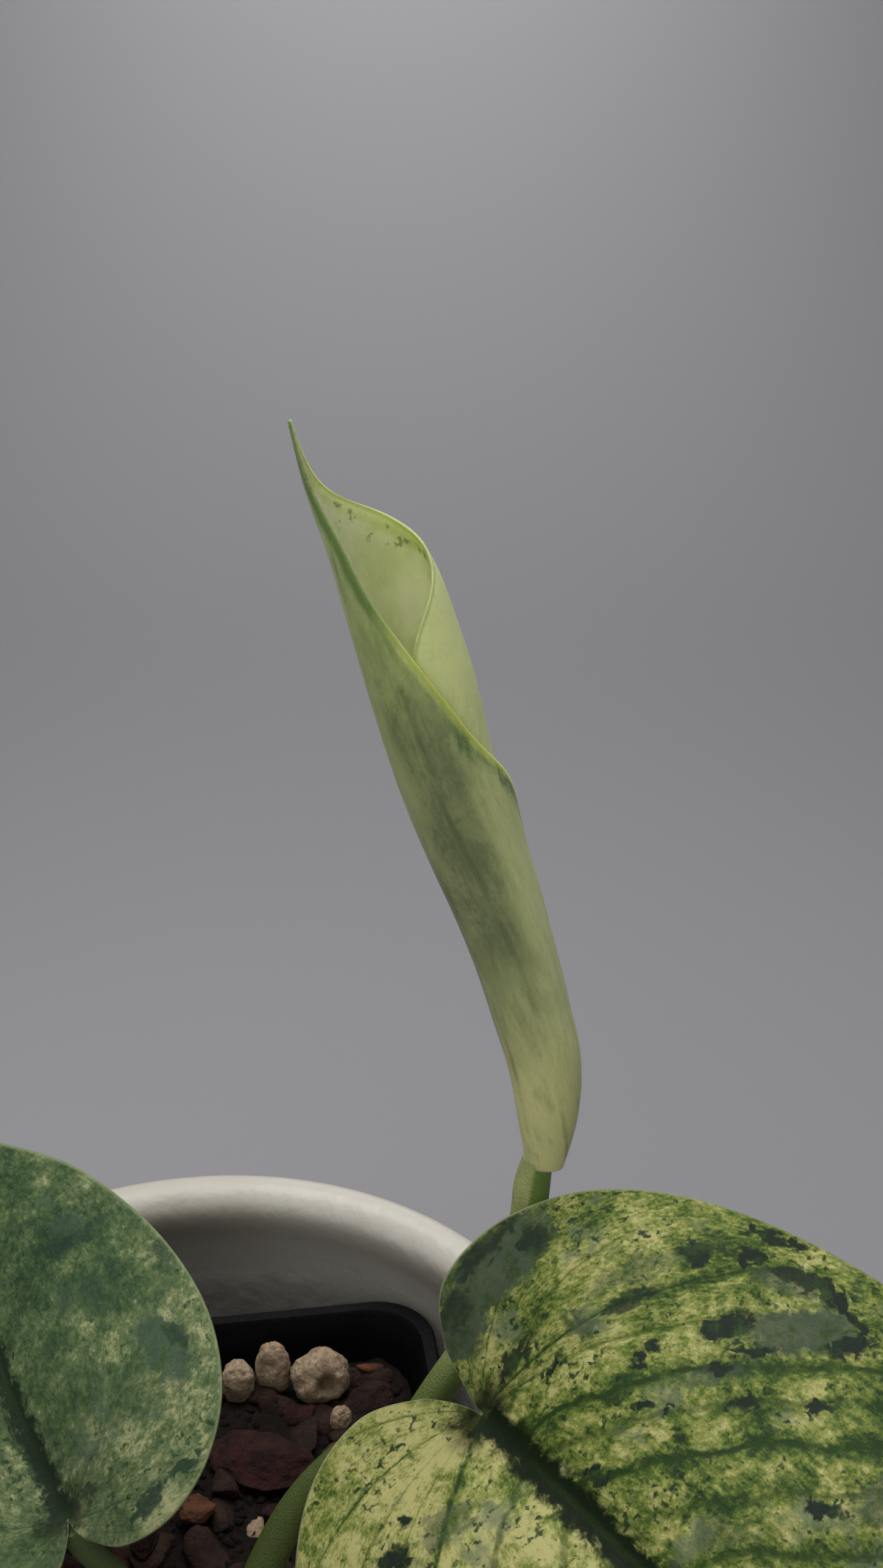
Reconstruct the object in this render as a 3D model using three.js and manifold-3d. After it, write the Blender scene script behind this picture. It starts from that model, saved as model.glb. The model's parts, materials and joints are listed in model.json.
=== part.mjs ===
/**
 * Potted silver cloud scindapsus, millimetres, +Z up.
 *
 * The origin is the centre of the round cover pot's foot, on the surface it stands on. A square black
 * nursery pot stands in the cover pot, filled with a chunky bark mix. The vine rises from the mix and
 * carries three leaves: one open leaf to the left, one larger open leaf to the right, and a new leaf,
 * still rolled into a scroll, that stands above them.
 */
import * as THREE from 'three';
import { mergeVertices } from 'three/addons/utils/BufferGeometryUtils.js';
import Module from 'manifold-3d';

const wasm = await Module();
wasm.setup();

// Cover pot
const POT_HEIGHT = 97;
const POT_RIM_RADIUS = 56.5;
const POT_FOOT_RADIUS = 41;
const POT_WALL = 3.6;
const POT_LIP_WIDTH = 7.4;
const POT_LIP_DEPTH = 5;
const POT_FLOOR = 5;
const POT_SEGMENTS = 64;

// Nursery pot: half widths across the flats, in a square with rounded corners
const NURSERY_TURN = THREE.MathUtils.degToRad(8);
const NURSERY_CENTRE = [1.8, 0.2];
const NURSERY_BOTTOM = POT_FLOOR + 0.8;
const NURSERY_TOP = 83;
const NURSERY_HALF_TOP = 34.9;
const NURSERY_HALF_BOTTOM = 26;
const NURSERY_LIP = 1.6;
const NURSERY_LIP_HEIGHT = 5;
const NURSERY_WALL = 1.3;
const NURSERY_CORNER = 9.4;
const NURSERY_CORNER_STEPS = 5;
const NURSERY_FLAT_STEPS = 4;
const DRAIN_RADIUS = 3;
const DRAIN_SPREAD = 14;

// Substrate
const SOIL_LEVEL = 75;
const SOIL_EDGE_DEPTH = 4;
const SOIL_BUMP = 1.3;
const SOIL_GAP = 0.35;
const SOIL_RINGS = 7;
const CHIP_COUNT = 38;
const CHIP_SEED = 4117;
const CHIP_SIZE = [3, 6];
const CHIP_MARGIN = 2.4;
const VINE_CLEARANCE = 0.4;

// Stones that lie on top of the mix: centre x, y, z, then half sizes and turn in degrees
const STONES = [
  [2.6, 27.9, 76.3, 2.8, 2.3, 4.4, 10],
  [8.2, 29.3, 78.0, 2.9, 2.4, 5.0, -15],
  [15.9, 28.0, 77.6, 4.7, 3.5, 5.0, 20],
  [19.4, 20.4, 76.6, 1.7, 1.5, 2.2, 40],
  [-4.4, 13.4, 76.0, 1.8, 1.4, 1.3, 5],
  [-1.0, 2.6, 76.3, 3.4, 2.6, 2.2, 35],
  [8.4, 12.0, 75.6, 9.6, 5.0, 2.6, -24],
  [23.6, 23.4, 76.4, 5.0, 3.6, 3.0, 30],
  [20.4, 12.5, 75.8, 4.6, 3.6, 2.4, 65],
  [-8.2, -2.5, 76.0, 3.2, 2.2, 2.0, 75],
];

// Vine: centre x, y, z and radius of each run, base first
const STEM = [
  [4.6, -25.4, 60, 2.9], [5.4, -25.4, 66, 3.0], [6.2, -25.3, 71, 3.2], [6.9, -25.1, 75, 3.9],
  [7.5, -24.9, 78, 3.3], [8.0, -24.7, 80.5, 3.7], [8.4, -24.4, 82.6, 2.2],
];
const PETIOLE_LEFT = [
  [7.3, -24.9, 77.5, 2.4], [3.2, -25.2, 83.6, 2.0], [-2.0, -26.3, 91.4, 1.7], [-6.4, -27.8, 99.2, 1.6],
  [-9.2, -29.1, 105.4, 1.7], [-10.3, -29.9, 109.4, 1.8],
];
const PETIOLE_RIGHT = [
  [7.9, -25.2, 79.8, 2.8], [10.2, -23.6, 88.3, 2.6], [13.0, -21.5, 95.2, 2.4], [16.6, -20.0, 102.1, 2.2],
  [21.5, -19.7, 108.8, 2.1], [27.8, -20.9, 115.0, 2.0], [33.6, -22.7, 118.6, 2.1], [38.2, -25.2, 121.0, 2.0],
];
const PETIOLE_NEW = [
  [8.0, -24.3, 79.0, 2.6], [14.7, -21.4, 85.7, 2.5], [21.8, -18.1, 93.8, 2.4], [28.4, -14.2, 103.2, 2.3],
  [34.4, -10.5, 111.7, 2.3], [38.7, -8.3, 117.6, 2.3], [42.2, -6.6, 123.2, 2.3], [44.6, -5.3, 128.3, 2.3],
  [46.0, -4.3, 132.8, 2.4], [46.6, -3.4, 136.9, 2.4], [46.8, -2.8, 140.0, 2.4], [46.9, -2.7, 141.5, 2.0],
];
const NODE_ROOTS = [
  [[5.2, -27.6, 74.6, 1.1], [3.4, -29.9, 74.8, 1.0], [2.0, -31.2, 76.2, 0.7]],
  [[10.2, -26.8, 76.0, 1.1], [12.6, -28.2, 77.0, 0.9], [14.0, -28.9, 79.2, 0.6]],
];
const STEM_SIDES = 10;
const PETIOLE_SIDES = 8;
const ROOT_SIDES = 6;

// Open leaves. Outlines run from the tip round to the notch, in shares of length and half width.
const LEAF_ROWS = 32;
const LEAF_COLUMNS = 7;
const VEIN_FAN = 0.44;
const VEIN_EASE = 1.15;
const VEIN_SWEEP = 0.18;
const BLADE_THICKNESS = 0.8;
const LEAF_RIGHT = {
  joint: [40.0, -25.8, 123.6],
  heading: -51.1,
  rise: -3.1,
  roll: 32.0,
  length: 110.8,
  halfWidth: 40.1,
  fold: 5,
  foldWidth: 10,
  dimple: 4,
  dimpleRadius: 14,
  curlLeft: 31.2,
  curlRight: 38.0,
  arch: 15.4,
  archBack: -12.6,
  outlineLeft: [
    [1, 0], [0.908, 0.138], [0.777, 0.435], [0.619, 0.748], [0.439, 0.98], [0.255, 1.021],
    [0.078, 0.913], [-0.048, 0.707], [-0.111, 0.447], [-0.12, 0.196], [-0.076, 0.064],
  ],
  outlineRight: [
    [1, 0], [0.896, 0.116], [0.755, 0.392], [0.59, 0.684], [0.41, 0.904], [0.247, 0.962],
    [0.104, 0.871], [-0.007, 0.691], [-0.071, 0.468], [-0.085, 0.244], [-0.055, 0.084],
  ],
};
const LEAF_LEFT = {
  joint: [-10.3, -30.2, 110.7],
  heading: 119.1,
  rise: 15.9,
  roll: -35.0,
  length: 68.6,
  halfWidth: 26.8,
  fold: 3,
  foldWidth: 8,
  dimple: 3,
  dimpleRadius: 10,
  curlLeft: 16.9,
  curlRight: 13.5,
  arch: 5.7,
  archBack: -12.7,
  outlineLeft: [
    [1, 0], [0.89, 0.12], [0.74, 0.4], [0.56, 0.7], [0.36, 0.93], [0.171, 0.999],
    [0.001, 0.919], [-0.119, 0.739], [-0.17, 0.5], [-0.15, 0.26], [-0.07, 0.08],
  ],
  outlineRight: [
    [1, 0], [0.896, 0.119], [0.761, 0.403], [0.594, 0.705], [0.377, 0.921], [0.175, 0.996],
    [0.011, 0.923], [-0.1, 0.737], [-0.151, 0.495], [-0.133, 0.253], [-0.064, 0.072],
  ],
};

// Rolled leaf, tip first: axis x, y, z, radius, then the angles in degrees of the outer and inner margin,
// counted from the midrib at the left, round by the front
const SCROLL = [
  [19.4, 21.2, 234.8, 3.6, 13, -13], [23.1, 19.55, 227.47, 5.5, 38, -50],
  [26.4, 18.03, 221.03, 6.45, 52.4, -128], [29.3, 16.44, 214.61, 7.4, 63.5, -203.5],
  [31.5, 14.8, 208.19, 7.7, 83.7, -263.6], [33.5, 13.13, 201.78, 7.8, 105.3, -289.1],
  [35.3, 11.48, 195.35, 7.55, 131.1, -302.2], [37.3, 9.85, 188.9, 7.2, 174.2, -311.6],
  [39.5, 8.16, 182.45, 6.6, 204.6, -318], [41.95, 6.43, 175.99, 6.1, 227.8, -319.9],
  [44.16, 4.7, 169.52, 5.7, 246, -316.7], [46.1, 2.96, 162.97, 5.45, 250, -309.9],
  [47.9, 1.22, 156.33, 5.15, 250, -301.1], [48.4, -0.64, 149.62, 4.4, 246, -236],
  [48.1, -2.48, 142.86, 2.9, 235, -120],
];
const SCROLL_ROWS = 32;
const SCROLL_COLUMNS = 20;
const SCROLL_PITCH = 1.5;
const SCROLL_OUTERMOST = 200;
const SCROLL_THICKNESS = 0.75;

const COLOURS = {
  cover: { color: 0xd9d4cc, roughness: 0.35, metalness: 0 },
  nursery: { color: 0x141414, roughness: 0.5, metalness: 0 },
  soil: { color: 0x4a3325, roughness: 0.95, metalness: 0 },
  vine: { color: 0x5f7d35, roughness: 0.45, metalness: 0 },
  leafLeft: { color: 0x66795a, roughness: 0.5, metalness: 0 },
  leafRight: { color: 0x7d8a55, roughness: 0.45, metalness: 0 },
  leafNew: { color: 0x98a468, roughness: 0.45, metalness: 0 },
};

/** Repeatable random numbers in 0..1. */
function seeded(seed) {
  let state = seed >>> 0;
  return () => {
    state = (state + 0x6d2b79f5) >>> 0;
    let t = Math.imul(state ^ (state >>> 15), 1 | state);
    t = (t + Math.imul(t ^ (t >>> 7), 61 | t)) ^ t;
    return ((t ^ (t >>> 14)) >>> 0) / 4294967296;
  };
}

/** Uniform Catmull-Rom value at share t of a table of equally long rows. */
function spline(rows, t) {
  const last = rows.length - 1;
  const p = last * THREE.MathUtils.clamp(t, 0, 1);
  const i = Math.min(Math.floor(p), last);
  const w = p - i;
  const before = rows[i === 0 ? i : i - 1];
  const from = rows[i];
  const to = rows[Math.min(i + 1, last)];
  const after = rows[Math.min(i + 2, last)];
  return from.map((a, k) => {
    const b = to[k];
    const v0 = (b - before[k]) * 0.5;
    const v1 = (after[k] - a) * 0.5;
    return (2 * a - 2 * b + v0 + v1) * w ** 3 + (-3 * a + 3 * b - 2 * v0 - v1) * w ** 2 + v0 * w + a;
  });
}

/** Geometry from a list of points and triangles. */
function meshed(points, triangles) {
  const geometry = new THREE.BufferGeometry();
  geometry.setAttribute('position', new THREE.Float32BufferAttribute(points.flat(), 3));
  geometry.setIndex(triangles.flat());
  return geometry;
}

/** Same geometry with only its positions, and with shared vertices merged. */
function welded(geometry) {
  const bare = geometry.clone();
  bare.deleteAttribute('normal');
  bare.deleteAttribute('uv');
  return mergeVertices(bare, 1e-4);
}

function toSolid(geometry) {
  const g = welded(geometry);
  const vertProperties = new Float32Array(g.attributes.position.array);
  const triVerts = new Uint32Array(g.index.array);
  return new wasm.Manifold(new wasm.Mesh({ numProp: 3, vertProperties, triVerts }));
}

function fromSolid(solid) {
  const mesh = solid.getMesh();
  const geometry = new THREE.BufferGeometry();
  geometry.setAttribute('position', new THREE.BufferAttribute(new Float32Array(mesh.vertProperties), 3));
  geometry.setIndex(new THREE.BufferAttribute(new Uint32Array(mesh.triVerts), 1));
  return geometry;
}

/** The largest of a solid's separate bodies. */
function largest(solid) {
  return solid.decompose().reduce((a, b) => (b.volume() > a.volume() ? b : a));
}

/** Skin over rings of equally many points, first ring at the bottom, with both ends capped. */
function loft(rings) {
  const n = rings[0].length;
  const points = rings.flat();
  const triangles = [];
  for (let k = 0; k + 1 < rings.length; k += 1) {
    for (let i = 0; i < n; i += 1) {
      const a = k * n + i;
      const b = k * n + ((i + 1) % n);
      triangles.push([a, b, b + n], [a, b + n, a + n]);
    }
  }
  const cap = (ring, start, up) => {
    const centre = points.length;
    points.push([0, 1, 2].map((c) => ring.reduce((sum, p) => sum + p[c], 0) / n));
    for (let i = 0; i < n; i += 1) {
      const a = start + i;
      const b = start + ((i + 1) % n);
      triangles.push(up ? [centre, a, b] : [centre, b, a]);
    }
  };
  cap(rings[0], 0, false);
  cap(rings[rings.length - 1], (rings.length - 1) * n, true);
  return meshed(points, triangles);
}

/** Round bar along a table of x, y, z, radius. */
function sweep(rows, sides, stepsPerRow, grow = 0) {
  const steps = (rows.length - 1) * stepsPerRow;
  const samples = Array.from({ length: steps + 1 }, (_, i) => spline(rows, i / steps));
  const centres = samples.map((s) => new THREE.Vector3(s[0], s[1], s[2]));
  let across = new THREE.Vector3(1, 0, 0);
  const rings = samples.map((sample, i) => {
    const ahead = centres[Math.min(i + 1, steps)];
    const behind = centres[Math.max(i - 1, 0)];
    const along = ahead.clone().sub(behind).normalize();
    across = across.clone().addScaledVector(along, -across.dot(along)).normalize();
    const up = along.clone().cross(across);
    return Array.from({ length: sides }, (_, j) => {
      const a = (2 * Math.PI * j) / sides;
      const r = sample[3] + grow;
      const p = centres[i].clone().addScaledVector(across, r * Math.cos(a));
      return p.addScaledVector(up, r * Math.sin(a)).toArray();
    });
  });
  return loft(rings);
}

/** Closed blade from a sheet of points: its faces lie above and below the sheet's points, alike. */
function thicken(points, triangles, above, below) {
  const sheet = welded(meshed(points, triangles));
  const index = Array.from(sheet.index.array);
  const faces = [];
  for (let i = 0; i < index.length; i += 3) {
    const [a, b, c] = index.slice(i, i + 3);
    if (a !== b && b !== c && c !== a) faces.push([a, b, c]);
  }
  const used = [...new Set(faces.flat())];
  const rename = new Map(used.map((v, i) => [v, i]));
  const position = sheet.attributes.position;
  const base = used.map((v) => new THREE.Vector3().fromBufferAttribute(position, v));
  const kept = faces.map((face) => face.map((v) => rename.get(v)));
  const normals = base.map(() => new THREE.Vector3());
  kept.forEach(([a, b, c]) => {
    const n = base[b].clone().sub(base[a]).cross(base[c].clone().sub(base[a]));
    [a, b, c].forEach((v) => normals[v].add(n));
  });
  normals.forEach((n) => n.normalize());
  const top = base.map((p, i) => p.clone().addScaledVector(normals[i], above).toArray());
  const bottom = base.map((p, i) => p.clone().addScaledVector(normals[i], -below).toArray());
  const count = base.length;
  const once = new Map();
  kept.forEach(([a, b, c]) => {
    [[a, b], [b, c], [c, a]].forEach(([p, q]) => {
      if (!once.delete(`${q} ${p}`)) once.set(`${p} ${q}`, [p, q]);
    });
  });
  const shell = kept.flatMap(([a, b, c]) => [[a, b, c], [a + count, c + count, b + count]]);
  once.forEach(([p, q]) => shell.push([p, p + count, q + count], [p, q + count, q]));
  return meshed([...top, ...bottom], shell);
}

/** One half of an open leaf, flat: rows follow the side veins from the midrib to the margin. */
function flatHalf(leaf, outline) {
  const rows = [];
  for (let i = 0; i <= LEAF_ROWS; i += 1) {
    const t = i / LEAF_ROWS;
    const [along, across] = spline(outline, t);
    const end = new THREE.Vector2(along * leaf.length, across * leaf.halfWidth);
    const start = new THREE.Vector2(leaf.length * Math.max(0, 1 - t / VEIN_FAN) ** VEIN_EASE, 0);
    const chord = end.clone().sub(start);
    const lean = chord.length() > 1e-9 ? Math.abs(chord.y) / chord.length() : 0;
    const side = new THREE.Vector2(-chord.y, chord.x).multiplyScalar(VEIN_SWEEP * lean);
    const middle = start.clone().add(end).multiplyScalar(0.5).add(side);
    const curve = new THREE.QuadraticBezierCurve(start, middle, end);
    rows.push(Array.from({ length: LEAF_COLUMNS + 1 }, (_, j) => curve.getPoint(j / LEAF_COLUMNS)));
  }
  return rows;
}

/** Bends a flat point of an open leaf into the leaf's own frame: x to the tip, z out of the upper face. */
function bent(leaf, point, side) {
  const { x, y } = point;
  const reach = Math.max(0, Math.min(1, 1 - x / leaf.length));
  const gather = 1 - Math.exp(-((Math.hypot(x, y) / leaf.dimpleRadius) ** 2));
  const lift = leaf.fold * (1 - Math.exp(-y / leaf.foldWidth)) * (0.35 + 0.65 * reach) + leaf.dimple * gather;
  const curl = THREE.MathUtils.degToRad(side > 0 ? leaf.curlLeft : leaf.curlRight) / leaf.halfWidth;
  const across = Math.sin(curl * y) / curl + lift * Math.sin(curl * y);
  const height = -(1 - Math.cos(curl * y)) / curl + lift * Math.cos(curl * y);
  const arch = THREE.MathUtils.degToRad(x > 0 ? leaf.arch : leaf.archBack) / leaf.length;
  const along = Math.sin(arch * x) / arch + height * Math.sin(arch * x);
  const rise = -(1 - Math.cos(arch * x)) / arch + height * Math.cos(arch * x);
  return new THREE.Vector3(along, side * across, rise);
}

/** Turns and moves an open leaf from its own frame to its place on the vine. */
function placement(leaf) {
  const heading = THREE.MathUtils.degToRad(leaf.heading);
  const rise = THREE.MathUtils.degToRad(leaf.rise);
  const x = new THREE.Vector3(Math.cos(rise), 0, Math.sin(rise));
  x.applyAxisAngle(new THREE.Vector3(0, 0, 1), heading);
  const level = new THREE.Vector3(0, 0, 1).cross(x).normalize();
  const basis = new THREE.Matrix4().makeBasis(x, level, x.clone().cross(level));
  basis.multiply(new THREE.Matrix4().makeRotationX(THREE.MathUtils.degToRad(leaf.roll)));
  return basis.setPosition(...leaf.joint);
}

function openLeaf(leaf, above = 0, below = BLADE_THICKNESS) {
  const place = placement(leaf);
  const points = [];
  const triangles = [];
  [[1, leaf.outlineLeft], [-1, leaf.outlineRight]].forEach(([side, outline]) => {
    const start = points.length;
    const rows = flatHalf(leaf, outline);
    rows.forEach((row) => row.forEach((p) => points.push(bent(leaf, p, side).applyMatrix4(place).toArray())));
    const width = LEAF_COLUMNS + 1;
    for (let i = 0; i < LEAF_ROWS; i += 1) {
      for (let j = 0; j < LEAF_COLUMNS; j += 1) {
        const a = start + i * width + j;
        const quad = [a, a + 1, a + width + 1, a + width];
        const [p, q, r, s] = side > 0 ? quad : [quad[3], quad[2], quad[1], quad[0]];
        triangles.push([p, q, r], [p, r, s]);
      }
    }
  });
  return thicken(points, triangles, above, below);
}

/** The rolled leaf: an open spiral that winds inwards from the outer margin to the inner one. */
function rolledLeaf() {
  const samples = Array.from({ length: SCROLL_ROWS + 1 }, (_, i) => spline(SCROLL, i / SCROLL_ROWS));
  const centres = samples.map((s) => new THREE.Vector3(s[0], s[1], s[2]));
  const points = [];
  samples.forEach((sample, i) => {
    const ahead = centres[Math.min(i + 1, SCROLL_ROWS)];
    const behind = centres[Math.max(i - 1, 0)];
    const along = ahead.clone().sub(behind).normalize();
    const left = new THREE.Vector3(-1, 0, 0).addScaledVector(along, along.x).normalize();
    const front = left.clone().cross(along);
    for (let j = 0; j <= SCROLL_COLUMNS; j += 1) {
      const angle = sample[5] + ((sample[4] - sample[5]) * j) / SCROLL_COLUMNS;
      const radius = sample[3] - (SCROLL_PITCH * (SCROLL_OUTERMOST - angle)) / 360;
      const a = THREE.MathUtils.degToRad(angle);
      const p = centres[i].clone().addScaledVector(left, radius * Math.cos(a));
      points.push(p.addScaledVector(front, radius * Math.sin(a)).toArray());
    }
  });
  const width = SCROLL_COLUMNS + 1;
  const triangles = [];
  for (let i = 0; i < SCROLL_ROWS; i += 1) {
    for (let j = 0; j < SCROLL_COLUMNS; j += 1) {
      const a = i * width + j;
      triangles.push([a, a + width + 1, a + 1], [a, a + width, a + width + 1]);
    }
  }
  return thicken(points, triangles, 0, SCROLL_THICKNESS);
}

/** Cover pot: a plain tapered wall that thickens into a rounded lip. */
function coverPot() {
  const outer = (z) => POT_FOOT_RADIUS + ((POT_RIM_RADIUS - POT_FOOT_RADIUS) * z) / POT_HEIGHT;
  const lipInside = POT_RIM_RADIUS - POT_LIP_WIDTH;
  const profile = [
    [0, 0], [POT_FOOT_RADIUS - 2, 0], [POT_FOOT_RADIUS - 0.6, 0.6], [outer(2.4), 2.4],
    [outer(POT_HEIGHT * 0.5), POT_HEIGHT * 0.5], [outer(POT_HEIGHT - 2.2), POT_HEIGHT - 2.2],
    [POT_RIM_RADIUS - 0.7, POT_HEIGHT - 0.7], [POT_RIM_RADIUS - 2.2, POT_HEIGHT],
    [lipInside + 2.8, POT_HEIGHT - 0.5], [lipInside + 0.9, POT_HEIGHT - 1.9], [lipInside, POT_HEIGHT - 3.8],
    [lipInside + 0.4, POT_HEIGHT - POT_LIP_DEPTH - 2],
    [outer(POT_HEIGHT - 12) - POT_WALL, POT_HEIGHT - 12],
    [outer(POT_FLOOR + 6) - POT_WALL, POT_FLOOR + 6], [outer(POT_FLOOR) - POT_WALL - 2, POT_FLOOR + 1],
    [outer(POT_FLOOR) - POT_WALL - 5, POT_FLOOR], [0, POT_FLOOR],
  ];
  const lathe = new THREE.LatheGeometry(profile.map(([r, z]) => new THREE.Vector2(r, z)), POT_SEGMENTS);
  return lathe.rotateX(Math.PI / 2);
}

/** One level of the nursery pot: a square with rounded corners, turned to its place. */
function squareRing(half, corner, z, scale = 1) {
  const ring = [];
  for (let quarter = 0; quarter < 4; quarter += 1) {
    const turn = (quarter * Math.PI) / 2;
    const local = [];
    for (let i = 0; i <= NURSERY_CORNER_STEPS; i += 1) {
      const a = ((Math.PI / 2) * i) / NURSERY_CORNER_STEPS;
      local.push([half - corner + corner * Math.cos(a), half - corner + corner * Math.sin(a)]);
    }
    for (let i = 1; i < NURSERY_FLAT_STEPS; i += 1) {
      local.push([(half - corner) * (1 - (2 * i) / NURSERY_FLAT_STEPS), half]);
    }
    local.forEach(([x, y]) => {
      const a = turn + NURSERY_TURN;
      const px = scale * (x * Math.cos(a) - y * Math.sin(a));
      const py = scale * (x * Math.sin(a) + y * Math.cos(a));
      ring.push([NURSERY_CENTRE[0] + px, NURSERY_CENTRE[1] + py, z]);
    });
  }
  return ring;
}

/** Outside half width of the nursery pot's wall at a height. */
function nurseryHalf(z) {
  const share = (z - NURSERY_BOTTOM) / (NURSERY_TOP - NURSERY_BOTTOM);
  return NURSERY_HALF_BOTTOM + (NURSERY_HALF_TOP - NURSERY_HALF_BOTTOM) * share;
}

function nurseryPot() {
  const lipStart = NURSERY_TOP - NURSERY_LIP_HEIGHT;
  const inner = NURSERY_CORNER - NURSERY_WALL;
  const rings = [
    squareRing(NURSERY_HALF_BOTTOM, NURSERY_CORNER, NURSERY_BOTTOM),
    squareRing(nurseryHalf(lipStart), NURSERY_CORNER, lipStart),
    squareRing(nurseryHalf(lipStart) + NURSERY_LIP, NURSERY_CORNER, lipStart + 0.8),
    squareRing(NURSERY_HALF_TOP + NURSERY_LIP, NURSERY_CORNER, NURSERY_TOP),
    squareRing(NURSERY_HALF_TOP - NURSERY_WALL + 0.4, inner + 0.4, NURSERY_TOP),
    squareRing(nurseryHalf(lipStart) - NURSERY_WALL, inner, lipStart),
    squareRing(NURSERY_HALF_BOTTOM - NURSERY_WALL, inner, NURSERY_BOTTOM + NURSERY_WALL),
  ];
  let pot = toSolid(loft(rings));
  [[0, 0], [1, 0], [0, 1], [-1, 0], [0, -1]].forEach(([x, y]) => {
    const drill = new THREE.CylinderGeometry(DRAIN_RADIUS, DRAIN_RADIUS, 12, 20).rotateX(Math.PI / 2);
    drill.translate(x * DRAIN_SPREAD, y * DRAIN_SPREAD, NURSERY_BOTTOM);
    pot = pot.subtract(toSolid(drill.translate(...NURSERY_CENTRE, 0)));
  });
  return fromSolid(pot);
}

/** A worn, faceted lump of bark or stone. */
function lump(random, size, turn, detail) {
  const rough = new THREE.IcosahedronGeometry(1, detail);
  const g = welded(rough);
  const position = g.attributes.position;
  for (let i = 0; i < position.count; i += 1) {
    const swell = 0.86 + 0.28 * random();
    position.setXYZ(i, position.getX(i) * swell, position.getY(i) * swell, position.getZ(i) * swell);
  }
  g.scale(...size);
  g.rotateX(turn[0]);
  g.rotateY(turn[1]);
  g.rotateZ(turn[2]);
  return g;
}

/** The mix in the nursery pot: a bumpy bed with bark chips and stones grown into its top. */
function substrate(clearance) {
  const random = seeded(CHIP_SEED);
  const half = (z) => nurseryHalf(z) - NURSERY_WALL - SOIL_GAP;
  const corner = NURSERY_CORNER - NURSERY_WALL - SOIL_GAP;
  const floor = NURSERY_BOTTOM + NURSERY_WALL + SOIL_GAP;
  const edge = SOIL_LEVEL - SOIL_EDGE_DEPTH;
  const rings = [squareRing(half(floor), corner, floor), squareRing(half(edge), corner, edge)];
  for (let k = 0; k < SOIL_RINGS; k += 1) {
    const share = 1 - k / SOIL_RINGS;
    const ring = squareRing(half(SOIL_LEVEL) - 0.1, corner, SOIL_LEVEL, share);
    rings.push(ring.map(([x, y, z]) => [x, y, z + (random() - 0.5) * 2 * SOIL_BUMP]));
  }
  let bed = toSolid(loft(rings));
  const lumps = [];
  STONES.forEach(([x, y, z, a, b, c, turn]) => {
    const g = lump(random, [a, b, c], [0, 0, THREE.MathUtils.degToRad(turn)], 1);
    lumps.push(toSolid(g.translate(x, y, z)));
  });
  const reach = half(SOIL_LEVEL) - CHIP_MARGIN;
  for (let i = 0; i < CHIP_COUNT; i += 1) {
    const r = THREE.MathUtils.lerp(CHIP_SIZE[0], CHIP_SIZE[1], random() ** 1.6);
    const size = [r * (0.8 + 0.6 * random()), r * (0.55 + 0.35 * random()), r * (0.35 + 0.25 * random())];
    const turn = [(random() - 0.5) * 1.1, (random() - 0.5) * 1.1, random() * Math.PI];
    const x = (random() * 2 - 1) * (reach - r);
    const y = (random() * 2 - 1) * (reach - r);
    const c = Math.cos(NURSERY_TURN);
    const s = Math.sin(NURSERY_TURN);
    const g = lump(random, size, turn, 0);
    g.translate(x * c - y * s, x * s + y * c, SOIL_LEVEL + 0.4 * r * random());
    lumps.push(toSolid(g.translate(...NURSERY_CENTRE, 0)));
  }
  lumps.forEach((solid) => {
    bed = bed.add(solid);
  });
  clearance.forEach((geometry) => {
    bed = bed.subtract(toSolid(geometry));
  });
  return fromSolid(largest(bed));
}

const VINE_RUNS = [
  [STEM, STEM_SIDES, 2], [PETIOLE_LEFT, PETIOLE_SIDES, 2], [PETIOLE_RIGHT, PETIOLE_SIDES, 2],
  [PETIOLE_NEW, PETIOLE_SIDES, 2], ...NODE_ROOTS.map((rows) => [rows, ROOT_SIDES, 2]),
];

const VINE_SLEEVES = VINE_RUNS.map(([rows, sides, steps]) => sweep(rows, sides, steps, VINE_CLEARANCE));

/** Stem, petioles and root nubs as one piece, cut clear of the leaves that they carry. */
function vine() {
  let whole = VINE_RUNS.map(([rows, sides, steps]) => toSolid(sweep(rows, sides, steps)));
  whole = whole.reduce((a, b) => a.add(b));
  [LEAF_LEFT, LEAF_RIGHT].forEach((leaf) => {
    const grown = openLeaf(leaf, VINE_CLEARANCE, BLADE_THICKNESS + VINE_CLEARANCE);
    whole = whole.subtract(toSolid(grown));
  });
  return fromSolid(largest(whole));
}

function named(name, geometry, finish) {
  const mesh = new THREE.Mesh(geometry, new THREE.MeshStandardMaterial(finish));
  mesh.name = name;
  return mesh;
}

const plant = new THREE.Group();
plant.name = 'potted_scindapsus';
plant.add(
  named('cover_pot', coverPot(), COLOURS.cover),
  named('nursery_pot', nurseryPot(), COLOURS.nursery),
  named('substrate', substrate(VINE_SLEEVES), COLOURS.soil),
  named('vine', vine(), COLOURS.vine),
  named('leaf_left', openLeaf(LEAF_LEFT), COLOURS.leafLeft),
  named('leaf_right', openLeaf(LEAF_RIGHT), COLOURS.leafRight),
  named('leaf_new', rolledLeaf(), COLOURS.leafNew),
);

export default plant;
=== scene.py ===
"""Looks of a potted silver cloud scindapsus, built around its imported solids.

Lengths in the classes are millimetres, and meshes are written in metres.
"""

import json
import logging
import math
from dataclasses import dataclass
from enum import Enum

import bmesh
import bpy
import numpy as np
from mathutils import Euler, Matrix, Vector, noise

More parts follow.
